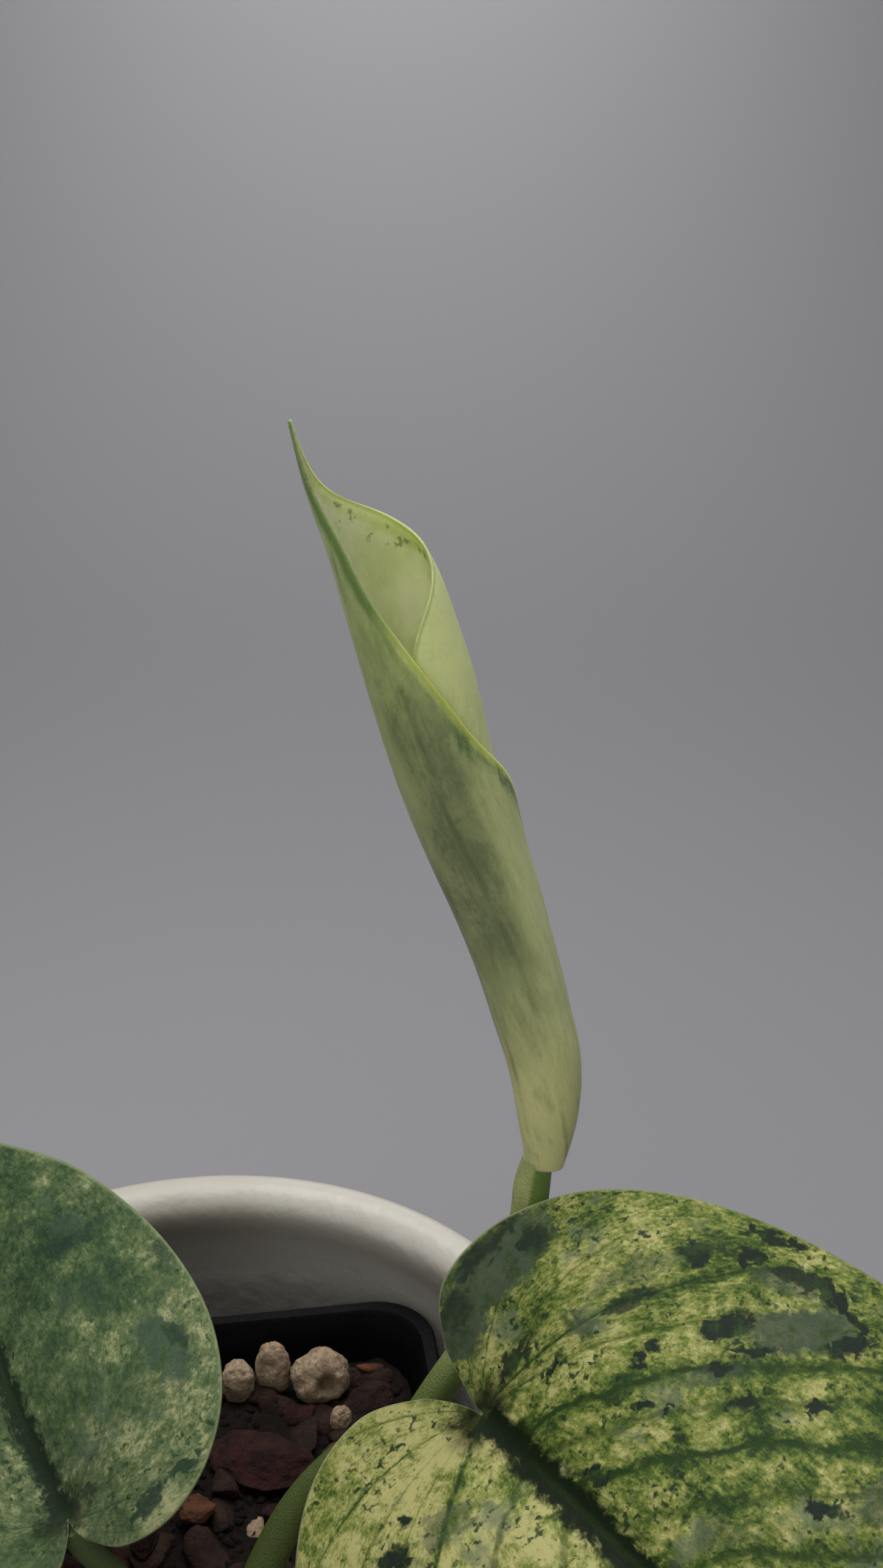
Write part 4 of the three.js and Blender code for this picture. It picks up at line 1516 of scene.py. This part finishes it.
class ScatterTree(Recipe):
    """Geometry Nodes that strew turned and sized copies over a bed."""

    NAME = "strewn lumps"
    DENSITY = "Density"
    APART = "Apart"
    SMALL = "Smallest"
    LARGE = "Largest"
    SEED = "Seed"
    KINDS = "Kinds"
    MATTER = "Matter"
    INPUTS = ((DENSITY, "Float"), (APART, "Float"), (SMALL, "Float"), (LARGE, "Float"), (SEED, "Int"),
              (KINDS, "Collection"), (MATTER, "Material"))
    TURN_LOW = (-0.6, -0.6, 0.0)
    TURN_HIGH = (0.6, 0.6, 6.283)

    def lay(self, given: bpy.types.NodeOutputs) -> tuple[object, object]:
        """Spreads points over the bed and puts turned, sized lumps on them.

        Args:
            given: The tree's inputs.

        Returns:
            The lumps and their matter.
        """
        spread = self.value("GeometryNodeDistributePointsOnFaces", {
            "Mesh": given["Geometry"], "Distance Min": given[self.APART], "Density Max": given[self.DENSITY],
            "Seed": given[self.SEED],
        }, distribute_method="POISSON")
        kinds = self.value("GeometryNodeCollectionInfo", {
            "Separate Children": True, "Reset Children": True, "Collection": given[self.KINDS],
        })
        turn = self.value("FunctionNodeRandomValue", {
            0: self.TURN_LOW, 1: self.TURN_HIGH, "Seed": given[self.SEED],
        }, data_type="FLOAT_VECTOR")
        size = self.value("FunctionNodeRandomValue", {
            2: given[self.SMALL], 3: given[self.LARGE], "Seed": given[self.SEED],
        }, 1, data_type="FLOAT")
        copies = self.value("GeometryNodeInstanceOnPoints", {
            "Pick Instance": True, "Points": spread, "Instance": kinds, "Rotation": turn, "Scale": size,
        })
        return copies, given[self.MATTER]


@dataclass(frozen=True)
class Strewn:
    """One kind of loose matter: how densely it lies and how large it is, in metres."""

    name: str
    matter: Rubble
    density: float
    apart: float
    smallest: float
    largest: float
    seed: int


@dataclass(frozen=True)
class Placed:
    """One lump that has its own place: centre, half sizes, turn and hollow."""

    kind: Lump
    x: float
    y: float
    z: float
    a: float
    b: float
    c: float
    turn: float
    hollow: float = 0.0

    def matrix(self) -> Matrix:
        """Place, turn and half sizes in metres; a hollow lump isn't turned, so that its pit faces the front.

        Returns:
            The matrix.
        """
        matrix = Matrix.Translation((self.x * MM, self.y * MM, self.z * MM))
        if not self.hollow:
            matrix = matrix @ Matrix.Rotation(math.radians(self.turn), 4, "Z")
        return matrix @ Matrix.Diagonal((self.a * MM, self.b * MM, self.c * MM, 1))


@dataclass(frozen=True)
class RoughLump:
    """A lump of unit size with flattened sides, an uneven skin and perhaps a pit in its front."""

    detail: int
    angular: float
    uneven: float
    hollow: float = 0.0
    sides: int = 9
    pit_side: Point = (0.25, -0.72, 0.1)
    pit_width: float = 0.42

    def build(self, name: str, seed: int) -> bpy.types.Mesh:
        """Draws one lump.

        Args:
            name: Mesh name.
            seed: Draw of the sides and the skin.

        Returns:
            The mesh, one unit in radius.
        """
        random = np.random.default_rng(seed)
        work = bmesh.new()
        bmesh.ops.create_icosphere(work, subdivisions=self.detail, radius=1.0)
        sides = random.normal(size=(self.sides, 3))
        sides /= np.linalg.norm(sides, axis=1, keepdims=True)
        depths = random.uniform(0.55, 0.9, len(sides))
        shift = Vector(random.uniform(-50, 50, 3))
        pit = Vector(self.pit_side).normalized()
        for vert in work.verts:
            p = vert.co.copy()
            for side, depth in zip(sides, depths):
                over = p.dot(Vector(side)) - depth
                if over > 0:
                    p -= Vector(side) * over * self.angular
            swell = noise.fractal(p * 1.6 + shift, 1.0, 2.0, 4) * self.uneven
            swell += noise.fractal(p * 4.5 + shift, 1.0, 2.0, 3) * self.uneven * 0.4
            p *= 1 + swell
            if self.hollow:
                near = (p.normalized() - pit).length
                p *= 1 - self.hollow * math.exp(-((near / self.pit_width) ** 4))
            vert.co = p
        return smoothed(written(work, name))


PUMICE = Rubble("pale pumice", (190, 167, 138), (152, 129, 105), (74, 59, 48), 0.35, 0.0007)
BARK = Rubble("bark chips", (56, 40, 32), (40, 28, 24), (20, 14, 12), 0.3, 0.0009)
RED_BARK = Rubble("red bark", (58, 33, 28), (40, 24, 22), (20, 13, 12), 0.28, 0.001)
CRUMB = Rubble("fine crumb", (34, 25, 20), (22, 16, 14), (9, 7, 6), 0.8, 0.0008)
TAN_BARK = Rubble("tan bark", (104, 66, 46), (72, 46, 33), (36, 24, 18), 0.32, 0.0008)


@dataclass
class Mix:
    """Bark and stone mix in the nursery pot."""

    pot: NurseryPot
    level: float = 74.2
    gap: float = 0.4
    placed: tuple[Placed, ...] = (
        Placed(Lump.STONE, 2.6, 27.9, 76.7, 3.0, 2.4, 4.7, 10),
        Placed(Lump.STONE, 8.2, 29.3, 78.2, 3.0, 2.5, 5.2, -15),
        Placed(Lump.STONE, 15.9, 28.0, 77.8, 4.9, 3.6, 5.2, 20, 0.55),
        Placed(Lump.STONE, 19.4, 20.4, 76.6, 1.8, 1.6, 2.3, 40),
        Placed(Lump.STONE, -4.4, 13.4, 76.0, 1.8, 1.4, 1.3, 5),
        Placed(Lump.BARK, -1.0, 2.6, 76.3, 3.4, 2.6, 2.2, 35),
        Placed(Lump.BARK, 8.4, 12.0, 75.6, 9.8, 5.2, 2.9, -24),
        Placed(Lump.BARK, 23.6, 23.4, 76.4, 5.2, 3.6, 3.0, 30),
        Placed(Lump.BARK, 20.4, 12.5, 75.8, 4.6, 3.6, 2.4, 65),
        Placed(Lump.BARK, -8.2, -2.5, 76.0, 3.2, 2.2, 2.0, 75),
    )
    strewn: tuple[Strewn, ...] = (
        Strewn("bark_strewn", BARK, 26000.0, 0.0046, 0.0026, 0.0046, 11),
        Strewn("red_bark_strewn", RED_BARK, 9000.0, 0.0075, 0.0024, 0.0042, 23),
        Strewn("tan_bark_strewn", TAN_BARK, 5200.0, 0.0095, 0.0018, 0.0032, 37),
        Strewn("pumice_strewn", PUMICE, 3600.0, 0.0105, 0.0014, 0.0026, 5),
        Strewn("crumb_strewn", CRUMB, 300000.0, 0.0012, 0.0006, 0.0013, 71),
    )
    top_rings: int = 22
    bump: float = 1.1
    bump_scale: float = 220.0

    def bed(self) -> bpy.types.Object:
        """Bed of fine crumb, closed down to the pot's floor.

        Returns:
            The bed.
        """
        pot, less = self.pot, self.pot.wall + self.gap
        corner, floor, deep = pot.corner - less, pot.bottom + less, self.level - 3
        walls = ((floor, 0.02), (floor, 1.0), (deep, 1.0))
        levels = [pot.ring(pot.half(z) - less, corner, z, scale) for z, scale in walls]
        start = len(levels)
        inside = pot.half(self.level) - less
        levels += [pot.ring(inside, corner, self.level, 1 - k / self.top_rings) for k in range(self.top_rings)]
        work = bmesh.new()
        for ring in skinned(work, levels)[start:]:
            for vert in ring:
                vert.co.z += self.bump * MM * noise.fractal(vert.co * self.bump_scale, 1.0, 2.0, 4)
        mesh = smoothed(written(work, "mix_bed"))
        mesh.materials.append(CRUMB.build())
        return shown("mix_bed", mesh)

    def top_of(self, bed: bpy.types.Object) -> bpy.types.Mesh:
        """Inner part of the bed's top, for strewing.

        Args:
            bed: Bed of the mix.

        Returns:
            The part that is strewn on.
        """
        work = bmesh.new()
        work.from_mesh(bed.data)
        corner = 6 * MM
        limit = (self.pot.half(self.level) - self.pot.wall - 2.6) * MM - corner
        turn = Matrix.Rotation(-math.radians(self.pot.turn), 3, "Z")
        shift = Vector((self.pot.centre[0] * MM, self.pot.centre[1] * MM, 0))

        def outside(face: bmesh.types.BMFace) -> bool:
            """Whether a face lies below the top or too near the wall."""
            p = turn @ (face.calc_center_median() - shift)
            low = p.z < (self.level - 2) * MM or face.normal.z < 0.2
            return low or math.hypot(max(0, abs(p.x) - limit), max(0, abs(p.y) - limit)) > corner

        bmesh.ops.delete(work, geom=[f for f in work.faces if outside(f)], context="FACES")
        return written(work, "strewing ground")

    def kinds(self, name: str, count: int, shape: RoughLump, flat: float) -> bpy.types.Collection:
        """Collection of lumps that the strewing picks from.

        Args:
            name: Name of the collection.
            count: How many lumps.
            shape: Their shape.
            flat: Share of their height that is kept.

        Returns:
            The collection.
        """
        shelf = bpy.data.collections.new(name)
        for k in range(count):
            mesh = shape.build(f"{name}_{k}", 100 + 7 * k)
            for vert in mesh.vertices:
                vert.co = Vector((vert.co.x * 1.25, vert.co.y * 0.8, vert.co.z * flat))
            shelf.objects.link(bpy.data.objects.new(f"{name}_{k}", mesh))
        return shelf

    def lumps(self, kind: Lump, angular: float, matter: list[Rubble]) -> bpy.types.Object:
        """The placed lumps of one kind, as one mesh.

        Args:
            kind: Which of the placed lumps.
            angular: Share of flattened sides.
            matter: Matters that they take in turn.

        Returns:
            The mesh object.
        """
        parts = []
        for k, lump in enumerate(p for p in self.placed if p.kind is kind):
            mesh = RoughLump(5, angular, 0.1, lump.hollow).build(f"{kind.value}_{k}", 40 + k)
            mesh.transform(lump.matrix())
            mesh.materials.append(matter[k % len(matter)].build())
            parts.append(shown(mesh.name, mesh))
        return joined(parts, f"placed_{kind.value}")

    def build(self) -> list[bpy.types.Object]:
        """Builds the bed, the strewn matter and the placed lumps.

        Returns:
            The pieces.
        """
        bed = self.bed()
        ground = self.top_of(bed)
        tree = ScatterTree()
        chips = self.kinds("chip", 5, RoughLump(3, 0.95, 0.12), 0.42)
        crumbs = self.kinds("crumb", 4, RoughLump(1, 0.8, 0.12), 0.7)
        pieces = [bed]
        for kind in self.strewn:
            pieces.append(tree.run(kind.name, ground, {
                tree.DENSITY: kind.density, tree.APART: kind.apart, tree.SMALL: kind.smallest,
                tree.LARGE: kind.largest, tree.SEED: kind.seed,
                tree.KINDS: crumbs if kind.matter is CRUMB else chips, tree.MATTER: kind.matter.build(),
            }))
        pieces.append(self.lumps(Lump.STONE, 0.25, [PUMICE]))
        pieces.append(self.lumps(Lump.BARK, 0.95, [TAN_BARK, RED_BARK, BARK]))
        for piece in pieces:
            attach(piece, BODY)
        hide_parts("substrate")
        return pieces


RIGHT_LEAF = OpenLeaf(
    name="leaf_right_blade", node="leaf_right", joint=(40.0, -25.8, 123.6), heading=-51.1, rise=-3.1, roll=32.0,
    length=110.8, half_width=40.1, fold=5, fold_width=10, dimple=4, dimple_radius=14, curl_left=31.2,
    curl_right=38.0, arch=15.4, arch_back=-12.6,
    outline_left=((1, 0), (0.908, 0.138), (0.777, 0.435), (0.619, 0.748), (0.439, 0.98), (0.255, 1.021),
                  (0.078, 0.913), (-0.048, 0.707), (-0.111, 0.447), (-0.12, 0.196), (-0.076, 0.064)),
    outline_right=((1, 0), (0.896, 0.116), (0.755, 0.392), (0.59, 0.684), (0.41, 0.904), (0.247, 0.962),
                   (0.104, 0.871), (-0.007, 0.691), (-0.071, 0.468), (-0.085, 0.244), (-0.055, 0.084)),
    upper=MottledUpper(
        name="right leaf upper face", tones=((40, 60, 30), (86, 104, 42), (132, 138, 72), (176, 172, 112)),
        haze=(104, 114, 88), dark=(30, 42, 32), grey=(68, 80, 62), fresh=(48, 68, 34), vein=(38, 60, 24),
        rib=(17, 28, 9), rim=(150, 158, 120), shift=0.006, right_paling_and_painted_light=0.035, base_paling_and_painted_light=0.012,
        edge_shift=-0.02, speck_share=0.0, contrast=1.35, rib_width=2.9, length=110.8,
        veins_left=((0.1, 0.6), (0.16, 0.5), (0.215, 0.7), (0.265, 0.5), (0.3, 0.8), (0.33, 0.5),
                    (0.357, 1.0), (0.384, 0.5), (0.408, 1.0), (0.455, 0.5), (0.52, 1.0), (0.62, 0.4),
                    (0.73, 0.6), (0.85, 0.4)),
        veins_right=((0.1, 0.6), (0.16, 0.5), (0.215, 0.7), (0.265, 0.5), (0.31, 0.8), (0.35, 0.5), (0.39, 0.6),
                     (0.435, 1.0), (0.51, 0.4), (0.59, 0.4), (0.685, 0.8), (0.77, 0.3), (0.855, 0.8)),
        blotches=spots(
            (9.1, 28.8, 2.0, 1.5, 42), (13.8, 32.5, 1.7, 1.2, 30), (13.4, 36.2, 4.4, 0.9, 24),
            (20.8, 34.6, 5.2, 1.3, 22, 0.9), (24.6, 35.2, 2.2, 1.4, -20), (18.6, 24.2, 3.4, 1.9, 52),
            (28.4, 34.2, 2.8, 0.9, -14), (30.0, 31.6, 3.0, 1.6, 62), (22.5, 23.7, 2.7, 0.7, 50),
            (0.2, 6.8, 1.2, 3.2, -6, 0.95), (5.3, 9.2, 0.7, 1.9, 15), (7.6, 19.6, 0.9, 3.4, -22, 0.8),
            (14.2, 17.4, 1.1, 0.8, 40), (13.8, 15.3, 1.0, 0.7, 40), (17.6, 12.2, 1.0, 0.5, 50),
            (19.9, 13.4, 0.6, 0.5, 0), (26.1, 18.8, 1.9, 0.8, 45), (32.4, 23.9, 1.4, 0.6, 50),
            (23.3, 11.9, 1.1, 0.8, 40, 0.8), (21.3, 19.9, 1.2, 0.9, 45), (39.7, 16.2, 2.0, 1.2, 30),
            (6.4, -16.5, 2.2, 1.5, 60), (4.2, -13.3, 1.1, 0.7, 20), (18.5, 4.0, 1.8, 0.8, 35),
            (-11.6, 13.6, 1.4, 5.4, 0, 0.8), (-6.8, 17.6, 2.4, 2.0, 0, 0.85), (-9.4, 6.4, 2.6, 2.0, 50, 0.7),
            (60.0, 12.0, 5.0, 2.2, 30), (72.0, -10.0, 4.0, 1.8, -30), (48.0, -20.0, 4.5, 2.0, -45),
        ),
        hazes=spots(
            (-9.0, 12.6, 4.3, 8.4, -6, 0.95), (-8.0, 5.4, 3.8, 3.4, 50, 0.95),
            (24.6, 29.2, 5.4, 3.0, 46, 0.92), (19.6, 33.2, 4.6, 1.8, 30, 0.7),
            (21.2, 18.8, 4.4, 1.2, 48, 0.6), (4.8, 14.0, 2.4, 1.3, 20, 0.7), (8.4, -10.6, 3.4, 2.0, 70, 0.6),
            (5.6, 22.6, 1.4, 5.0, -28, 0.5), (33.0, 8.0, 2.8, 1.6, 40, 0.5), (52.0, -6.0, 5.0, 2.4, -40, 0.6),
            (46.0, 22.0, 6.0, 3.0, 40, 0.7), (66.0, 20.0, 5.0, 2.2, 20, 0.7),
        ),
        seed=2.0),
    under=PaleUnder("right leaf underside", (120, 134, 88), (138, 150, 102)))

SOFT_VEINS = ((0.1, 0.3), (0.17, 0.3), (0.23, 0.4), (0.28, 0.3), (0.33, 0.4), (0.38, 0.3), (0.44, 0.4),
              (0.55, 0.3), (0.68, 0.4), (0.82, 0.3))
LEFT_LEAF = OpenLeaf(
    name="leaf_left_blade", node="leaf_left", joint=(-10.3, -30.2, 110.7), heading=119.1, rise=15.9, roll=-35.0,
    length=68.6, half_width=26.8, fold=3, fold_width=8, dimple=3, dimple_radius=10, curl_left=16.9,
    curl_right=13.5, arch=5.7, arch_back=-12.7,
    outline_left=((1, 0), (0.89, 0.12), (0.74, 0.4), (0.56, 0.7), (0.36, 0.93), (0.171, 0.999),
                  (0.001, 0.919), (-0.119, 0.739), (-0.17, 0.5), (-0.15, 0.26), (-0.07, 0.08)),
    outline_right=((1, 0), (0.896, 0.119), (0.761, 0.403), (0.594, 0.705), (0.377, 0.921), (0.175, 0.996),
                   (0.011, 0.923), (-0.1, 0.737), (-0.151, 0.495), (-0.133, 0.253), (-0.064, 0.072)),
    upper=MottledUpper(
        name="left leaf upper face", tones=((42, 60, 42), (70, 90, 56), (98, 112, 74), (156, 158, 114)),
        haze=(76, 96, 74), dark=(36, 54, 42), grey=(62, 80, 64), fresh=(52, 76, 44), vein=(44, 64, 36),
        rib=(30, 43, 27), rim=(128, 140, 100), shift=-0.034, right_paling_and_painted_light=0.0, base_paling_and_painted_light=0.055,
        edge_shift=0.022, speck_share=-0.02, contrast=1.05, rib_width=2.3, length=68.6,
        veins_left=SOFT_VEINS, veins_right=SOFT_VEINS,
        blotches=spots(
            (30.2, -16.5, 5.0, 1.2, 100, 0.7), (21.0, -24.6, 2.4, 1.3, 0, 0.6),
            (-7.2, -10.9, 1.2, 3.0, 15, 0.9), (-6.1, -17.0, 0.9, 2.6, -10, 0.9),
            (0.4, -4.3, 1.6, 0.8, 60, 0.8), (9.6, -22.0, 2.6, 0.8, 10, 0.6), (18.0, 12.0, 4.0, 1.6, 40, 0.6),
            (40.0, 6.0, 4.0, 1.6, 20, 0.6),
        ),
        hazes=spots(
            (8.8, -20.2, 5.6, 2.6, 10, 0.85), (33.3, -15.2, 3.0, 1.6, 60, 0.6),
            (22.0, -14.0, 5.0, 3.0, 60, 0.4),
        ),
        seed=9.0),
    under=PaleUnder("left leaf underside", (104, 122, 88), (122, 138, 102)),
    relief=0.08)


@dataclass(frozen=True)
class Lamp:
    """One soft square light: where it stands, what it looks at, its side and its power in watts."""

    name: str
    place: Point
    aim: Point
    size: float
    power: float

    def build(self) -> None:
        """Sets the light."""
        data = bpy.data.lights.new(self.name, "AREA")
        data.shape = "SQUARE"
        data.size = self.size
        data.energy = self.power
        lamp = shown(self.name, data)
        lamp.location = self.place
        lamp.rotation_euler = (Vector(self.aim) - Vector(self.place)).to_track_quat("-Z", "Y").to_euler()


@dataclass
class Studio:
    """Pale floor with its sweep, soft lights and the camera; lengths in metres but for the camera's place."""

    eye: Point = (35.2, -184.8, 281.9)
    tilt: float = 65.0
    lens: float = 40.0
    sensor: float = 36.0
    clip: tuple[float, float] = (0.005, 20.0)
    floor_half: float = 1.6
    floor_front: float = -1.4
    wall_top: float = 2.2
    sweep_start: float = 0.62
    sweep_radius: float = 0.5
    sweep_steps: int = 24
    air: tuple[float, float, float, float] = (0.62, 0.62, 0.64, 1.0)
    air_strength: float = 0.13
    lamps: tuple[Lamp, ...] = (
        Lamp("key", (0.0, 0.12, 0.6), (0.02, 0.02, 0.1), 0.36, 2.55),
        Lamp("fill", (-0.22, -0.8, 0.66), (0.0, 0.0, 0.12), 0.8, 3.4),
        Lamp("wash", (0.0, 1.0, 0.68), (0.0, 1.15, 0.15), 0.45, 3.8),
    )

    def backdrop(self) -> None:
        """Floor that turns up into a wall behind the plant."""
        path = [(self.floor_front, 0.0), (self.sweep_start, 0.0)]
        for i in range(1, self.sweep_steps + 1):
            a = math.pi / 2 * i / self.sweep_steps
            y = self.sweep_start + self.sweep_radius * math.sin(a)
            path.append((y, self.sweep_radius * (1 - math.cos(a))))
        path.append((self.sweep_start + self.sweep_radius, self.wall_top))
        points = [(x, y, z) for y, z in path for x in (-self.floor_half, self.floor_half)]
        mesh = bpy.data.meshes.new("floor")
        mesh.from_pydata(points, [], [(k, k + 1, k + 3, k + 2) for k in range(0, len(points) - 2, 2)])
        mesh.materials.append(Paint("studio floor").finish((153, 152, 155), 0.9, Specular_IOR_Level=0.1))
        shown("floor", smoothed(mesh))

    def build(self) -> None:
        """Sets the floor, the lights, the world and the camera."""
        self.backdrop()
        for lamp in self.lamps:
            lamp.build()
        scene = bpy.context.scene
        scene.world = bpy.data.worlds.new("studio")
        scene.world.use_nodes = True
        air = scene.world.node_tree.nodes["Background"].inputs
        air["Color"].default_value = self.air
        air["Strength"].default_value = self.air_strength
        data = bpy.data.cameras.new("camera")
        data.lens = self.lens
        data.sensor_width = self.sensor
        data.sensor_fit = "AUTO"
        data.clip_start, data.clip_end = self.clip
        camera = shown("camera", data)
        camera.location = [c * MM for c in self.eye]
        camera.rotation_euler = Euler((math.radians(self.tilt), 0.0, 0.0))
        scene.camera = camera
        scene.view_settings.view_transform = "Standard"


def main() -> None:
    """Builds every piece in order."""
    logging.basicConfig(level=logging.INFO, format="%(message)s")
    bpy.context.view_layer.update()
    pot = NurseryPot()
    for name, piece in (("cover pot", CoverPot()), ("nursery pot", pot), ("mix", Mix(pot)), ("vine", Vine()),
                        ("right leaf", RIGHT_LEAF), ("left leaf", LEFT_LEAF), ("rolled leaf", RolledLeaf())):
        made = piece.build()
        for thing in made if isinstance(made, list) else [made]:
            LOG.info("%s: %s, %d faces", name, thing.name, len(thing.data.polygons))
    Studio().build()
    bpy.context.view_layer.update()


if __name__ == "__main__":
    main()
